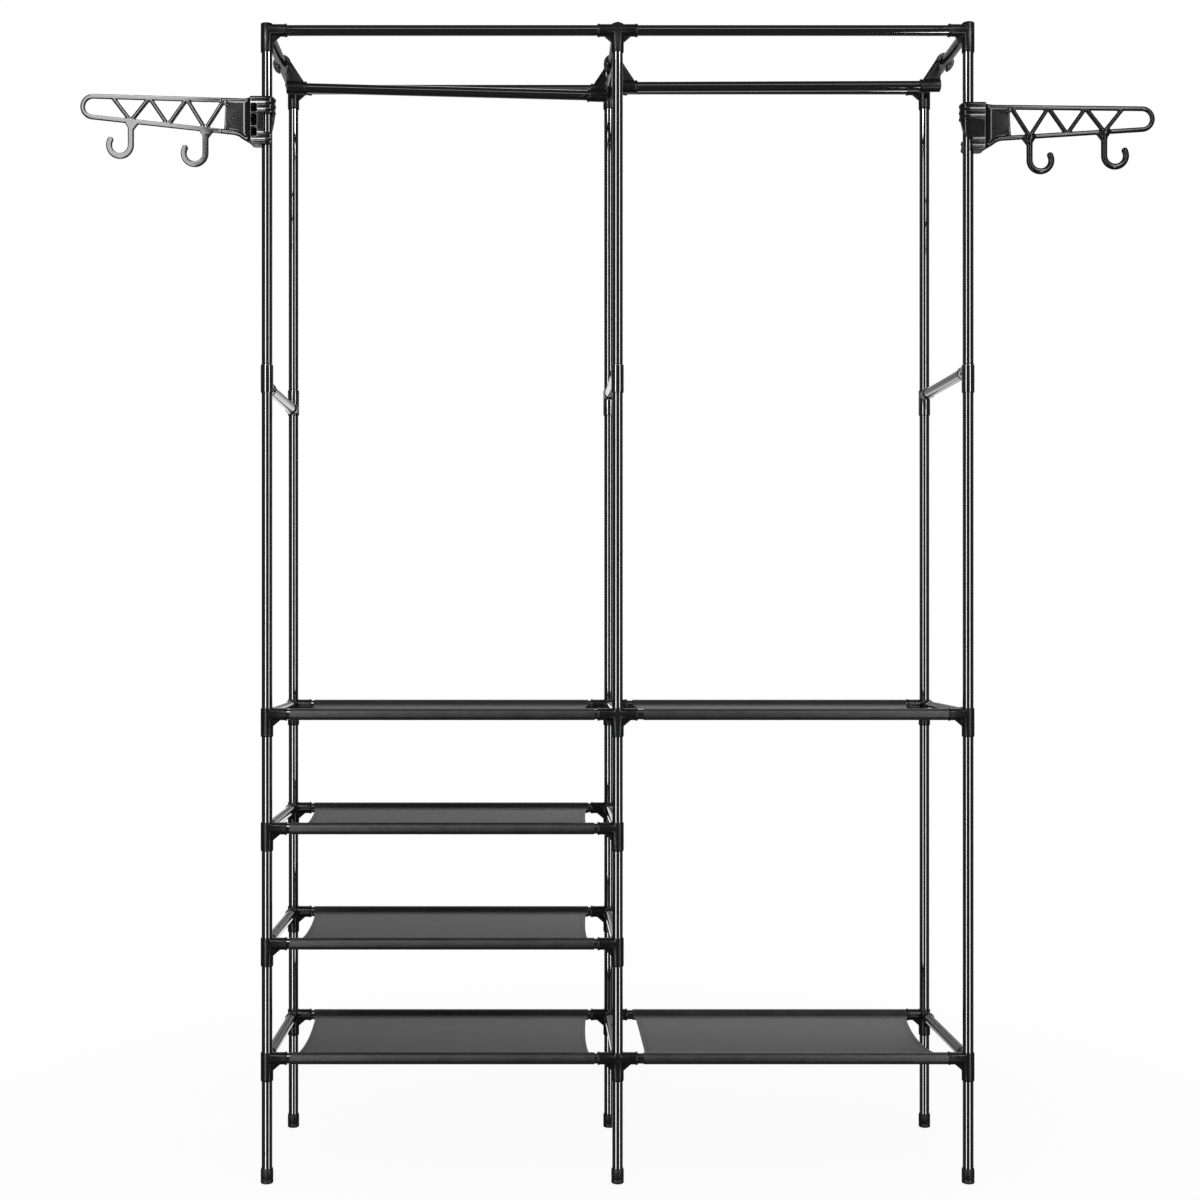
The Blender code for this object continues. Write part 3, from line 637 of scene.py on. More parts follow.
def foot_cap():
    """A pushed-on foot with a rounded sole, a moulded groove and a tapered lip."""
    outline = [
        (0, FOOT_SOLE), (BORE, FOOT_SOLE),
        (BORE, FOOT_HEIGHT - 0.0004), (BORE + 0.0003, FOOT_HEIGHT),
        *stepped(FOOT_RADIUS, FOOT_HEIGHT, FOOT_LIP),
        *stepped(FOOT_RADIUS, 0, FOOT_GROOVE + FOOT_EASE),
        (FOOT_RADIUS * 0.5, 0), (FOOT_RADIUS * 0.42, SOLE_HOLLOW), (0, SOLE_HOLLOW),
    ]
    return smoothed(turned("foot", outline))


def spun_hook():
    """The bracket's hook, a flat section spun most of the way round the side rail."""
    clear_choice()
    bpy.ops.mesh.primitive_plane_add(size=1)
    middle = (TUBE_RADIUS + HOOK_PLAY + HOOK_WALL / 2, 0, 0)
    hook = set_up(named("hook"), location=middle, scale=(HOOK_WALL, HOOK_WIDTH, 1))
    apply_place()
    bpy.ops.object.mode_set(mode="EDIT")
    bpy.ops.mesh.select_all(action="SELECT")
    bpy.ops.mesh.spin(steps=32, angle=HOOK_SWEEP, center=(0, 0, 0), axis=(0, 1, 0))
    close_up()
    return eased(settle(hook, place=(0, 0, -HOOK_PLAY / 2)), 0.0009, 0.9)


def bracket():
    """A rod bracket: hook round the side rail, ribbed web and socket towards +X."""
    hook = spun_hook()
    inner = TUBE_RADIUS + HOOK_PLAY
    outer = inner + HOOK_WALL
    reach = outer - 0.0004
    slope_top = (reach * math.cos(RIM_LEAN), reach * math.sin(RIM_LEAN) - HOOK_PLAY / 2)
    slope_foot = (SOCKET_END - 0.0045, -ROD_DROP + SOCKET_RADIUS - 0.0006)
    web_outline = (
        (inner + 0.0006, 0.001), slope_top, slope_foot, (slope_foot[0], -ROD_DROP),
        (SOCKET_START, -ROD_DROP), (SOCKET_START, -outer), (inner + 0.0004, -inner / 2),
    )
    rim_outline = (
        (slope_top[0] - 0.0026, slope_top[1] - 0.0010), slope_top,
        slope_foot, (slope_foot[0] - 0.0030, slope_foot[1] - 0.0006),
    )
    spine_end, spine_top = SOCKET_START + SPINE_THICKNESS, -outer + 0.001
    spine_outline = (
        (SOCKET_START, -ROD_DROP), (spine_end, -ROD_DROP),
        (spine_end, spine_top), (SOCKET_START, spine_top),
    )
    web = cut_out("web", web_outline, WEB_THICKNESS, edge=0.0008)
    rim = cut_out("rim", rim_outline, RIM_WIDTH, edge=0.0007)
    spine = cut_out("spine", spine_outline, RIM_WIDTH, edge=0.0007)
    length = SOCKET_END - SOCKET_START
    socket_outline = [(0, 0), *stepped(SOCKET_RADIUS, 0, SOCKET_HEEL)]
    socket_outline += [*stepped(SOCKET_RADIUS, length, SOCKET_BEAD), (0, length)]
    barrel = turned("barrel", socket_outline)
    settle(barrel, (0, QUARTER, 0), (SOCKET_START, 0, -ROD_DROP))
    piece = joined("bracket", [hook, web, rim, spine, barrel])
    finished_by(piece, "REMESH", mode="VOXEL", voxel_size=0.00055)
    finished_by(piece, "SMOOTH", factor=0.5, iterations=5)
    start = (SOCKET_START + SOCKET_END_WALL, 0, -ROD_DROP)
    bore = round_bar("bore", BORE, start, (SOCKET_END + CUT_PAST, 0, -ROD_DROP))
    worked(piece, "DIFFERENCE", [bore])
    finished_by(piece, "DECIMATE", ratio=0.38)
    return smoothed(piece, angle=45)


def swept_bar(name, points, radii, thickness, closed=False):
    """A round bar bent along points in the XZ plane."""
    clear_choice()
    bpy.ops.curve.primitive_nurbs_path_add()
    path = bpy.context.active_object
    path.data.splines.clear()
    set_up(path.data, bevel_depth=thickness, bevel_resolution=5, use_fill_caps=True)
    line = path.data.splines.new("POLY")
    line.points.add(len(points) - 1)
    for point, (x, z), radius in zip(line.points, points, radii):
        point.co = (x, 0, z, 1)
        point.radius = radius
    line.use_cyclic_u = closed
    choose(path)
    bpy.ops.object.convert(target="MESH")
    return named(name)


def on_line(line, x):
    """The height at x of a line in the XZ plane."""
    (first_x, first_z), (second_x, second_z) = line
    return first_z + (x - first_x) / (second_x - first_x) * (second_z - first_z)


def tangent_turn(root, lift, bend, sign):
    """The angle at which a line from the root touches the tip's circle."""
    across = math.atan2(root[1] - lift, root[0] - ARM_LENGTH)
    distance = math.hypot(root[1] - lift, root[0] - ARM_LENGTH)
    turn = across - sign * math.acos(bend / distance)
    return turn if sign > 0 else turn - (math.tau if turn > 0 else 0)


def arm_rim(lift):
    """The rim's centre line: along the top, round the tip and back below."""
    half_bar = ARM_BAR / 2
    top_root = (BLOCK_LENGTH, ARM_TOP - half_bar)
    low_root = (PLATE_FOOT[0], half_bar - PLATE_FOOT[1])
    bend = ARM_TIP - half_bar
    first = tangent_turn(top_root, lift, bend, 1)
    last = tangent_turn(low_root, lift, bend, -1)
    return top_root, arc((ARM_LENGTH, lift), bend, first, last, 24), low_root


def toe_bend(lower, heel):
    """The smooth bend from the lower chord to the block's heel."""
    before, after = Vector(lower[0]), Vector(heel)
    ahead = before + (before - Vector(lower[1])).normalized() * 0.012
    bend = []
    for step in range(1, 8):
        share = step / 8
        bend.append(tuple(before.lerp(ahead, share).lerp(ahead.lerp(after, share), share)))
    return bend


def coat_hook(panel, lower):
    """A J hook hung from the lower chord, with a flared root and a rounded tip."""
    stem = PLATE_END + (panel + 0.5) * TRUSS_PITCH
    chord = on_line(lower, stem)
    centre = (stem + COAT_BEND, chord - ARM_BAR / 2 - COAT_DROP)
    bend = arc(centre, COAT_BEND, math.pi, math.tau + math.radians(28), 24)
    points = [(stem, chord - depth) for depth, _ in COAT_ROOT]
    points += [(stem, (chord + centre[1]) / 2), *bend]
    radii = [swelling for _, swelling in COAT_ROOT] + [1] * (len(bend) - 1) + [0.97, 0.97]
    bent = swept_bar("hook", points, radii, COAT_BAR)
    clear_choice()
    bpy.ops.mesh.primitive_uv_sphere_add(segments=24, ring_count=14, radius=COAT_BAR * 1.02)
    ball = settle(named("ball"), place=(bend[-1][0], 0, bend[-1][1]))
    flare = [(stem + across, chord + up) for across, up in COAT_FLARE]
    return [bent, ball, cut_out("flare", flare, 0.0066, edge=0.001)]


def truss_bars(upper, lower):
    """Slanted flat bars between the chords, each with a raised middle."""
    bars = []
    for panel in range(3):
        start = PLATE_END + panel * TRUSS_PITCH
        middle = start + TRUSS_PITCH / 2
        for x in (start, start + TRUSS_PITCH):
            top = Vector((x, on_line(upper, x)))
            foot = Vector((middle, on_line(lower, middle)))
            along = (foot - top).normalized() * TRUSS_HALF
            flank = Vector((-along.y, along.x))
            for share, thickness, edge in TRUSS_LAYERS:
                half = flank * share
                outline = (top - half, top + half, foot + half, foot - half)
                bars.append(cut_out("bar", outline, thickness, edge))
    return bars


def arm_block(upper, lower, heel, toe):
    """The block beside the clip, filleted into the plate and cut to the side view."""
    plan = [(0, -CLIP_RADIUS), (BLOCK_LENGTH, -CLIP_RADIUS)]
    for step in range(1, 11):
        turn = QUARTER * step / 10
        x = BLOCK_LENGTH + BLOCK_FILLET * (1 - math.cos(turn))
        plan.append((x, -CLIP_RADIUS + (CLIP_RADIUS - PLATE_THICKNESS / 2) * math.sin(turn)))
    plan.append((PLATE_END, -PLATE_THICKNESS / 2))
    plan += [(x, -y) for x, y in reversed(plan)]
    block = cut_out("block", plan, CLIP_HEIGHT + 0.004, upright=False)
    half_bar, edge = ARM_BAR / 2, CLIP_HEIGHT / 2 - 0.0004
    side = (
        (-0.002, edge), (BLOCK_LENGTH, edge),
        (BLOCK_LENGTH + BLOCK_FILLET, upper[0][1] + half_bar),
        (PLATE_END - 0.002, on_line(upper, PLATE_END)), (PLATE_END, on_line(lower, PLATE_END)),
        lower[0], (heel[0], heel[1] - half_bar), (toe[0], -edge), (-0.002, -edge),
    )
    return worked(block, "INTERSECT", [cut_out("side", side, 4 * CLIP_RADIUS)])


def hook_arm(name, lift):
    """The arm along +X from the post's axis, all its forms melted into one moulding."""
    half_bar, half_clip = ARM_BAR / 2, CLIP_HEIGHT / 2
    top_root, tip, low_root = arm_rim(lift)
    upper, lower = (top_root, tip[0]), (low_root, tip[-1])
    heel = (PLATE_HEEL[0], half_bar - PLATE_HEEL[1])
    toe = (CLIP_TOE, half_bar - half_clip)
    line = [(CLIP_RADIUS, 0), (CLIP_RADIUS, top_root[1]), top_root, *tip, low_root]
    line += [*toe_bend(lower, heel), heel, toe, (CLIP_RADIUS, toe[1])]
    parts = [swept_bar("rim", line, [1] * len(line), half_bar, closed=True)]
    parts.append(arm_block(upper, lower, heel, toe))
    barrel = [(0, -half_clip), *stepped(CLIP_RADIUS, -half_clip, CLIP_EASE)]
    barrel += [(reach, -height) for reach, height in reversed(barrel)]
    parts.append(turned("barrel", barrel))
    parts += finger_ridges(toe[0])
    parts += truss_bars(upper, lower)
    for panel in (0, 2):
        parts += coat_hook(panel, lower)
    parts += plate_bosses(upper, lower)
    piece = joined(name, parts)
    finished_by(piece, "REMESH", mode="VOXEL", voxel_size=0.00065)
    worked(piece, "DIFFERENCE", clip_cuts(), "MANIFOLD")
    finished_by(piece, "REMESH", mode="VOXEL", voxel_size=0.0006)
    finished_by(piece, "SMOOTH", factor=0.5, iterations=4)
    finished_by(piece, "DECIMATE", ratio=0.42)
    return smoothed(piece, angle=60)


def finger_ridges(toe_reach):
    """Two ridges below and three above, each round the clip and along the block."""
    half_clip = CLIP_HEIGHT / 2
    parts = []
    for end, count in ((-1, 2), (1, 3)):
        for row in range(count):
            height = end * (half_clip - RIDGE_MARGIN - row * RIDGE_PITCH)
            seated = end < 0 or row > 0
            ridge = stepped(CLIP_RADIUS, height, RIDGE + (RIDGE_SEAT if seated else RIDGE_EDGE))
            parts.append(turned("ring", [(0, ridge[0][1]), *ridge, (0, ridge[-1][1])]))
            below = toe_reach + (half_clip + height) * 0.9
            length = BLOCK_LENGTH if end > 0 else min(BLOCK_LENGTH, below)
            across = [(-reach, z) for reach, z in ridge] + list(reversed(ridge))
            bar = cut_out("ridge", across, length)
            parts.append(settle(bar, (0, 0, -QUARTER), (length / 2, 0, 0)))
    return parts


def plate_bosses(upper, lower):
    """Small bosses at the plate's outer corners."""
    x, reach = PLATE_END - 0.003, PLATE_THICKNESS / 2 + BOSS_RISE
    heights = (on_line(upper, PLATE_END) - 0.006, on_line(lower, PLATE_END) + 0.006)
    return [round_bar("boss", BOSS_RADIUS, (x, -reach, z), (x, reach, z), 24) for z in heights]


def clip_cuts():
    """The post's bore, the fingers' free edges, the pockets and the flat back."""
    half_clip = CLIP_HEIGHT / 2
    far = 2 * CLIP_RADIUS
    top_edge, low_edge = half_clip - 0.0245, 0.0175 - half_clip
    foot = -half_clip - 0.002
    lip_outline = (
        (-far, top_edge + 0.0035), (-CLIP_RADIUS, top_edge + 0.0035),
        (-CLIP_RADIUS + 0.0016, top_edge - 0.006), (-TUBE_RADIUS, low_edge + 0.0105),
        (-0.0060, low_edge + 0.0045), (-0.0035, low_edge + 0.0012),
        (FINGER_EDGE, low_edge), (FINGER_EDGE, foot), (-far, foot),
    )
    lip = cut_out("lip", lip_outline, far)
    turn = math.radians(130)
    side_x, side_y = far * math.cos(turn), far * math.sin(turn)
    side_outline = ((0, 0), (side_x, side_y), (-far, side_y), (-far, 0))
    side_height = low_edge + 0.002 - foot
    low_side = cut_out("side", side_outline, side_height, upright=False)
    cuts = [round_bar("bore", BORE, (0, 0, foot), (0, 0, half_clip + 0.002))]
    cuts.append(settle(low_side, place=(0, 0, foot + side_height / 2)))
    cuts.append(settle(lip, place=(0, FIT - far / 2, 0)))
    cuts.append(slab("gap", (-far, FIT, low_edge), (FINGER_EDGE, far, top_edge)))
    low, floor = POCKET_FOOT, 0.003 - CLIP_RADIUS
    for height in POCKET_HEIGHTS:
        cuts.append(slab("pocket", (POCKET_START, floor, low), (POCKET_END, far, low + height)))
        low += height + POCKET_WALL
    past_tip = (ARM_LENGTH + ARM_TIP + 0.01, far, 0.1)
    cuts.append(slab("flat_back", (PLATE_END + 0.003, FLAT_BACK, -0.1), past_tip))
    return cuts


def cloth_rows(curves):
    """The sheet's path over its rails: depth, height, side insets, and held or not."""
    half = RACK_DEPTH / 2
    start = -half + SEAM_SETBACK
    lean = math.acos(CLOTH_LOOP / SEAM_SETBACK)
    loop = [(SEAM_SETBACK, -LOOP_DROP)]
    loop += arc((0, 0), CLOTH_LOOP, -lean, lean - math.tau, LOOP_STEPS)
    front = [(start + SEAM_ALLOWANCE, -SEAM_DROP), (start + SEAM_ALLOWANCE / 2, -SEAM_DROP)]
    front += [(-half + y, z) for y, z in loop]
    no_inset = (0, 0)
    rows = [(y, z, no_inset, True) for y, z in front]
    for step in range(PANEL_STEPS + 1):
        share = step / PANEL_STEPS
        bow = 4 * share * (1 - share)
        inset = SIDE_INSET * min(1, step / 2, (PANEL_STEPS - step) / 2)
        insets = (inset + curves[0] * bow, inset + curves[1] * bow)
        held = step in (0, PANEL_STEPS)
        rows.append((start - 2 * start * share, -SAG * bow, insets, held))
    return rows + [(-y, z, no_inset, True) for y, z in reversed(front)]


def woven(name, lines, columns, lengths):
    """Cloth through lines of points, their places on the flat cut as a UV map."""
    work = bmesh.new()
    cut = work.loops.layers.uv.new("cut")
    grid = [[work.verts.new(point) for point in line] for line in lines]
    for row in range(len(grid) - 1):
        for column in range(len(columns) - 1):
            corners = ((row, column), (row, column + 1), (row + 1, column + 1), (row + 1, column))
            face = work.faces.new([grid[r][c] for r, c in corners])
            for loop, (r, c) in zip(face.loops, corners):
                loop[cut].uv = (SHELF_WIDTH * columns[c] / CLOTH_COLUMNS, lengths[r])
    return finished_mesh(name, work)


def thickened(piece):
    """Gives a sheet of cloth its finer curve and its thickness."""
    finished_by(piece, "SUBSURF", levels=1, render_levels=1)
    finished_by(piece, "SOLIDIFY", thickness=CLOTH, offset=0)
    return smoothed(piece, angle=60)


def shelf_sheet(name, centre, height, seed, curves):
    """The flat sheet laid over its rails and hung, with its grid of points, rows and lengths."""
    chance = random.Random(seed)
    pull = [chance.uniform(-1, 1) for _ in range(8)]
    drift = Vector((seed * 7.3, 0, 0))
    rows = cloth_rows(curves)
    lengths = [0.0]
    for before, after in zip(rows, rows[1:]):
        lengths.append(lengths[-1] + math.hypot(after[0] - before[0], after[1] - before[1]))
    columns = range(CLOTH_COLUMNS + 1)
    lines = []
    for y, z, (left_inset, right_inset), held in rows:
        line = []
        for column in columns:
            share = column / CLOTH_COLUMNS
            x = SHELF_WIDTH * (share - 0.5) + left_inset * (1 - share) - right_inset * share
            slide, lift = 0, 0
            if held:
                slide = 0.0011 * noise.noise(Vector((x * 16, 4 * y, 5)) + drift)
            else:
                lift = 0.0008 * noise.noise(Vector((x * 9, y * 13, 0)) + drift)
            line.append((centre + x + slide * pull[column % 8], y, height + z + lift))
        lines.append(line)
    piece = woven(name, lines, columns, lengths)
    width = len(columns)
    held = [r * width + c for r, row in enumerate(rows) if row[3] for c in columns]
    piece.vertex_groups.new(name="held").add(held, 1.0, "REPLACE")
    hang(piece)
    points = [vertex.co.copy() for vertex in piece.data.vertices]
    grid = [points[r * width:(r + 1) * width] for r in range(len(rows))]
    return piece, grid, rows, lengths


def hang(piece):
    """Lets the cloth hang under its own weight from its loops."""
    choose(piece)
    step = piece.modifiers.new("hang", "CLOTH")
    set_up(step.settings, **HANGING)
    step.collision_settings.use_collision = False
    set_up(step.point_cache, frame_start=1, frame_end=HANG_FRAMES)
    for number in range(1, HANG_FRAMES + 1):
        bpy.context.scene.frame_set(number)
    bpy.ops.object.modifier_apply(modifier="hang")
    bpy.context.scene.frame_set(1)


def at(grid, row, column):
    """A point between the grid's lines, with the cloth's upward normal there."""
    r, c = min(int(row), len(grid) - 2), min(int(column), len(grid[0]) - 2)
    v, u = row - r, column - c
    first = grid[r][c].lerp(grid[r][c + 1], u)
    second = grid[r + 1][c].lerp(grid[r + 1][c + 1], u)
    across = grid[r][c + 1] - grid[r][c]
    along = second - first
    return first.lerp(second, v), across.cross(along).normalized()


def stitches(name, runs):
    """Short raised thread stitches along runs of points on the cloth."""
    work = bmesh.new()
    turns = [math.tau * side / THREAD_SIDES for side in range(THREAD_SIDES)]
    for start, end, normal in runs:
        along = end - start
        across = along.cross(normal).normalized()
        spokes = [across * math.cos(turn) + normal * math.sin(turn) for turn in turns]
        rings = []
        for share, size, rise in STITCH_SHAPE:
            middle = start + along * share + normal * rise
            places = [middle + spoke * THREAD_RADIUS * size for spoke in spokes]
            rings.append([work.verts.new(place) for place in places])
        for before, after in zip(rings, rings[1:]):
            for side in range(THREAD_SIDES):
                onward = (side + 1) % THREAD_SIDES
                work.faces.new((before[side], before[onward], after[onward], after[side]))
        work.faces.new(list(reversed(rings[0])))
        work.faces.new(rings[-1])
    bmesh.ops.recalc_face_normals(work, faces=work.faces)
    return smoothed(finished_mesh(name, work), angle=60)


def stitch_runs(grid, first, last):
    """Where the stitches lie: along both seams, then along both side hems."""
    runs = []

    def stitch(start_place, end_place):
        start, normal = at(grid, *start_place)
        end, _ = at(grid, *end_place)
        runs.append((start + normal * STITCH_LIFT, end + normal * STITCH_LIFT, normal))

    for row in (first + 0.35, last - 0.35):
        column = 0.4
        while column < CLOTH_COLUMNS - 0.8:
            stitch((row, column), (row, column + SEAM_STITCH))
            column += SEAM_PITCH
    for column in (0.85, CLOTH_COLUMNS - 0.85):
        row = first + 1.5
        while row < last - 1.8:
            stitch((row, column), (row + HEM_STITCH, column))
            row += HEM_PITCH
    return runs


def side_hem(name, grid, first, last, columns, lengths):
    """The turned-under edge of the panel, a narrow second layer below it."""
    lines = []
    for row in range(first, last + 1):
        places = [at(grid, row, column) for column in columns]
        lines.append([point - normal * HEM_DROP for point, normal in places])
    return thickened(woven(name, lines, columns, lengths[first:]))


def shelf(level, bay, height, seed, cloth, thread):
    """One fabric shelf: its sheet over both rails, its side hems and its stitching."""
    stem = f"{level}_{bay}"
    centre = BAYS[bay] * BAY_WIDTH / 2 + SHELF_SHIFT[bay]
    curves = SIDE_CURVES[bay]
    piece, grid, rows, lengths = shelf_sheet(f"{stem}_cloth", centre, height, seed, curves)
    fitted(thickened(piece), cloth, "grey_fabric", f"{stem}_shelf")
    first = next(number for number, row in enumerate(rows) if row[2][0] > 0) - 1
    last = len(rows) - 1 - first
    end = CLOTH_COLUMNS
    for side, columns in (("left", (0, 0.5, 1)), ("right", (end - 1, end - 0.5, end))):
        hem = side_hem(f"{stem}_{side}_hem", grid, first + 1, last - 1, columns, lengths)
        fitted(hem, cloth, "grey_fabric")
    sewn = stitches(f"{stem}_stitching", stitch_runs(grid, first, last))
    fitted(sewn, thread, "grey_fabric")


def posts_and_feet(enamel, foot_finish):
    pattern = foot_cap()
    post_top = TOP_HEIGHT + SLEEVE_TOP - CAP_THICKNESS - FIT
    tube = steel_tube("post_pattern", (0, 0, FOOT_SOLE + FIT), (0, 0, post_top))
    for row, row_sign in ROWS.items():
        for side, side_sign in SIDES.items():
            there = Matrix.Translation((side_sign * BAY_WIDTH, row_sign * RACK_DEPTH / 2, 0))
            post = copied(tube, f"{row}_{side}_upright", there)
            fitted(post, enamel, "black_steel", f"{row}_{side}_post")
            foot = copied(pattern, f"{row}_{side}_foot_cap", there)
            fitted(foot, foot_finish, "foot_plastic", f"{row}_{side}_foot")
    put_away([pattern, tube])


def side_frames(enamel, plastic):
    """Front and rear connectors with the side rail between them, at every height."""
    half = RACK_DEPTH / 2
    low = SLEEVE_TOP - SLEEVE_HEIGHT
    corner_ways, tee_ways = (0, QUARTER), (0, QUARTER, math.pi)
    rail = steel_tube("side_rail_pattern", (0, RAIL_INSET - half, 0), (0, half - RAIL_INSET, 0))
    patterns = [
        connector("corner", corner_ways, low, "open"),
        connector("tee", tee_ways, low, "open"),
        connector("flat_corner", corner_ways, low, "flat"),
        connector("rounded_corner", corner_ways, low, "rounded"),
        connector("top_tee", tee_ways, low, "button"),
        connector("coupler", (QUARTER,), low, "coupler"),
        connector("low_coupler", (QUARTER,), -SLEEVE_TOP, "coupler"),
    ]
    corner, tee, flat_corner, rounded_corner, top_tee, coupler, low_coupler = patterns

    def frame_of(stem, side, height, pattern, turns, finish):
        x = SIDES[side] * BAY_WIDTH
        node = f"{stem}_side_frame"
        for (row, sign), turn in zip(ROWS.items(), turns):
            there = Matrix.Translation((x, sign * half, height)) @ Matrix.Rotation(turn, 4, "Z")
            piece = copied(pattern, f"{stem}_{row}_connector", there)
            fitted(piece, finish, "black_plastic", node)
        tube = copied(rail, f"{stem}_side_tube", Matrix.Translation((x, 0, height)))
        fitted(tube, enamel, "black_steel", node)

    for level, height in LEVELS.items():
        facings = {"left": "left", "middle": "right"}
        if level in FULL_LEVELS:
            facings = {side: side for side in SIDES}
        for side, facing in facings.items():
            pattern = tee if facing == "middle" else corner
            frame_of(f"{level}_{side}", side, height, pattern, TURNS[facing], plastic)
    for side, pattern in (("left", flat_corner), ("middle", top_tee), ("right", rounded_corner)):
        frame_of(f"top_{side}", side, TOP_HEIGHT, pattern, TURNS[side], plastic)
    shift = SLEEVE_HEIGHT / 2 - SLEEVE_TOP
    for side in SIDES:
        inverted = side == "left"
        pattern = low_coupler if inverted else coupler
        height = BRACE_HEIGHT - shift if inverted else BRACE_HEIGHT + shift
        frame_of(f"brace_{side}", side, height, pattern, TURNS["middle"], enamel)
    put_away([rail, *patterns])


def bays_at(level):
    """The bays that have rails at a level."""
    return BAYS if level in FULL_LEVELS else ("left",)


def long_rails(enamel):
    tube = steel_tube("rail_pattern", (RAIL_INSET, 0, 0), (BAY_WIDTH - RAIL_INSET, 0, 0))
    for level, height in [*LEVELS.items(), ("top", TOP_HEIGHT)]:
        for bay in bays_at(level):
            start = -BAY_WIDTH if bay == "left" else 0
            for row, row_sign in ROWS.items():
                there = Matrix.Translation((start, row_sign * RACK_DEPTH / 2, height))
                piece = copied(tube, f"{level}_{bay}_{row}_tube", there)
                fitted(piece, enamel, "black_steel", f"{level}_{bay}_{row}_rail")
    put_away([tube])


def hanging_rods(enamel, plastic):
    """Both rods, each with a bracket hooked over the side rails at its two ends."""
    pattern = bracket()
    for side, sign in BAYS.items():
        body = f"{side}_rod"
        outer, inner = ROD_PLACES[side]
        across = Vector((-sign * BAY_WIDTH, inner - outer))
        span = across.length
        turn = Matrix.Rotation(math.atan2(across.y, across.x), 4, "Z")
        pivot = Matrix.Translation((sign * BAY_WIDTH, outer, TOP_HEIGHT)) @ turn
        start, end = (ROD_INSET, 0, -ROD_DROP), (span - ROD_INSET, 0, -ROD_DROP)
        rod = steel_tube(f"{side}_rod_tube", start, end)
        rod.data.transform(pivot)
        fitted(rod, enamel, "black_steel", f"{side}_hanging_rod", body=body)
        flip = Matrix.Translation((span, 0, 0)) @ Matrix.Rotation(math.pi, 4, "Z")
        for place, extra in (("outer", Matrix.Identity(4)), ("inner", flip)):
            piece = copied(pattern, f"{side}_{place}_bracket", pivot @ extra)
            node = f"{side}_rod_{place}_bracket"
            fitted(piece, plastic, "black_plastic", node, body=body)
    put_away([pattern])


def hook_arms(lit_and_shaded_plastics):
    """Both arms, turned out sideways from the outer front posts."""
    for side, sign in BAYS.items():
        arm = hook_arm(f"{side}_arm_moulding", ARM_LIFTS[side])
        there = Matrix.Translation((sign * BAY_WIDTH, -RACK_DEPTH / 2, ARM_HEIGHTS[side]))
        arm.data.transform(there @ Matrix.Rotation(math.pi if sign < 0 else 0, 4, "Z"))
        # Each arm takes its own copy of the plastic; the copies differ only in specular, as
        # painted highlight on the left and painted shade on the right.
        fitted(arm, lit_and_shaded_plastics[side], "black_plastic", f"{side}_hook_arm", body=f"{side}_arm")


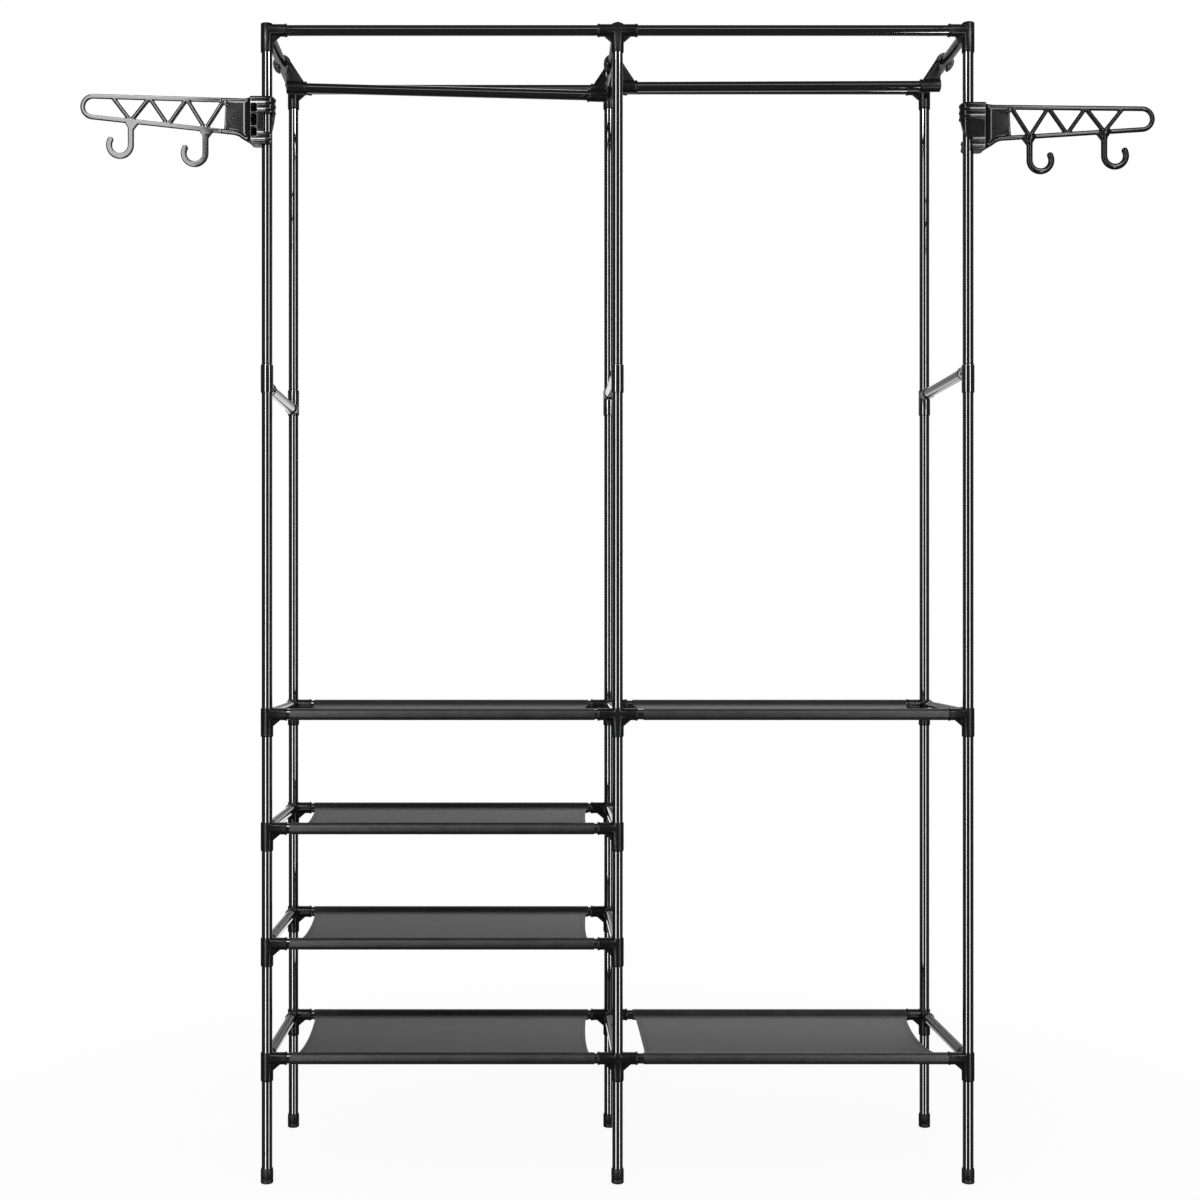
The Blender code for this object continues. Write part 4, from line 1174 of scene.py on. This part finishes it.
def pale_floor():
    """A pale floor that reads as white and still takes the rack's shadow."""
    clear_choice()
    bpy.ops.mesh.primitive_plane_add(size=40)
    floor = named("studio_floor")
    paper = Finish(bpy.data.materials.new("pale_floor"))
    seen, mirrored, through = paper.rays()
    place = paper.object_place()
    colour = paper.mix(paper.clouds(place, 40, detail=4), grey(0.84), grey(0.88))
    matt = paper.node("ShaderNodeBsdfDiffuse", None, {"Color": colour})
    glow = paper.node("ShaderNodeEmission", None, {"Color": grey(1), "Strength": 1.0})
    away = paper.spread(paper.length(place), 0.7, 1.6, to_low=0.93)
    share = (seen | mirrored | through) * away
    shader = paper.node("ShaderNodeMixShader", None, {0: share, 1: matt, 2: glow})
    floor.data.materials.append(paper.surface(shader))
    floor.visible_glossy = False
    floor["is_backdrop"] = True


def studio_world():
    """White to the camera; in reflections, a white backdrop and ceiling behind the rack."""
    world = bpy.data.worlds.new("studio")
    bpy.context.scene.world = world
    room = Finish(world)
    seen, mirrored, through = room.rays()
    towards = room.node("ShaderNodeTexCoord", output="Generated")
    x, y, z = room.node("ShaderNodeSeparateXYZ", None, {0: towards}, ("X", "Y", "Z"))
    behind = room.spread(y, 0.45, 0.85)
    sockets = {0: towards, 1: (1, 0, 1), 2: (0, 0, 0.1)}
    aside = room.node("ShaderNodeVectorMath", {"operation": "MULTIPLY_ADD"}, sockets)
    backdrop = room.spread(room.length(aside), 0.17, 0.30, to_low=0.95, to_high=0.2)
    ceiling = room.spread(z, 0.36, 0.50) * room.spread(x, -0.15, 0.25, to_low=1.3, to_high=2.4)
    reflected = WORLD_REFLECTED + behind * (backdrop + ceiling)
    white = seen | through
    unseen = mirrored * reflected + (1 - mirrored) * WORLD_AMBIENT
    sockets = {"Color": grey(1), "Strength": white + (1 - white) * unseen}
    room.surface(room.node("ShaderNodeBackground", None, sockets))


def lamp(name, place, aim, width, height, watts, glossy_only):
    """An area light that is seen in reflections only, or in everything but reflections."""
    light = bpy.data.lights.new(name, "AREA")
    set_up(light, shape="RECTANGLE", size=width, size_y=height, energy=watts)
    made = set_up(brought_in(name, light), location=place, visible_camera=False)
    set_up(made, visible_diffuse=not glossy_only, visible_glossy=glossy_only)
    made.rotation_euler = (Vector(aim) - Vector(place)).to_track_quat("-Z", "Y").to_euler()


def camera():
    """The photograph's camera: level, near half height, framed by a small shift."""
    lens = bpy.data.cameras.new("photo_camera")
    set_up(lens, lens=50, sensor_width=36, shift_x=0.0570, shift_y=0.0179)
    made = brought_in("photo_camera", lens)
    set_up(made, location=CAMERA_PLACE, rotation_euler=(QUARTER, 0, 0))
    bpy.context.scene.camera = made


def build():
    enamel = gloss_black_enamel()
    plastic = moulded_black(
        "black_moulded_plastic", grey(0.004, 0.0042), grey(0.009, 0.0094),
        dull=0.26, shine=0.22, texture=0.05,
    )
    arm_lit_and_shaded_plastics = {}
    # One moulding, two copies of its plastic: the left arm's stronger specular is a painted
    # highlight and the right arm's weaker specular is painted shade, standing in for how the lamps
    # fall on each side.
    for side, look, shine in (("left", "painted_highlight", 0.55), ("right", "satin", 0.24)):
        arm_lit_and_shaded_plastics[side] = moulded_black(
            f"{look}_arm_plastic", grey(0.005, 0.0052), grey(0.010, 0.0104),
            dull=0.12, shine=shine, texture=0.01,
        )
    foot_finish = moulded_black(
        "soft_foot_plastic", grey(0.006, 0.0062), grey(0.013, 0.0132),
        dull=0.46, shine=0.3, texture=0.08,
    )
    cloth = shelf_fabric()
    thread = sewing_thread()
    posts_and_feet(enamel, foot_finish)
    side_frames(enamel, plastic)
    long_rails(enamel)
    hanging_rods(enamel, plastic)
    hook_arms(arm_lit_and_shaded_plastics)
    seed = 1
    for level, height in LEVELS.items():
        for bay in bays_at(level):
            shelf(level, bay, height, seed, cloth, thread)
            seed += 1


build()
pale_floor()
studio_world()
for light in LIGHTS:
    lamp(*light)
camera()
bpy.context.scene.view_settings.view_transform = "Standard"

boxes = {"cad": solid_box, "visual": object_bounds()}
{key: [[float(x) for x in corner] for corner in box] for key, box in boxes.items()}
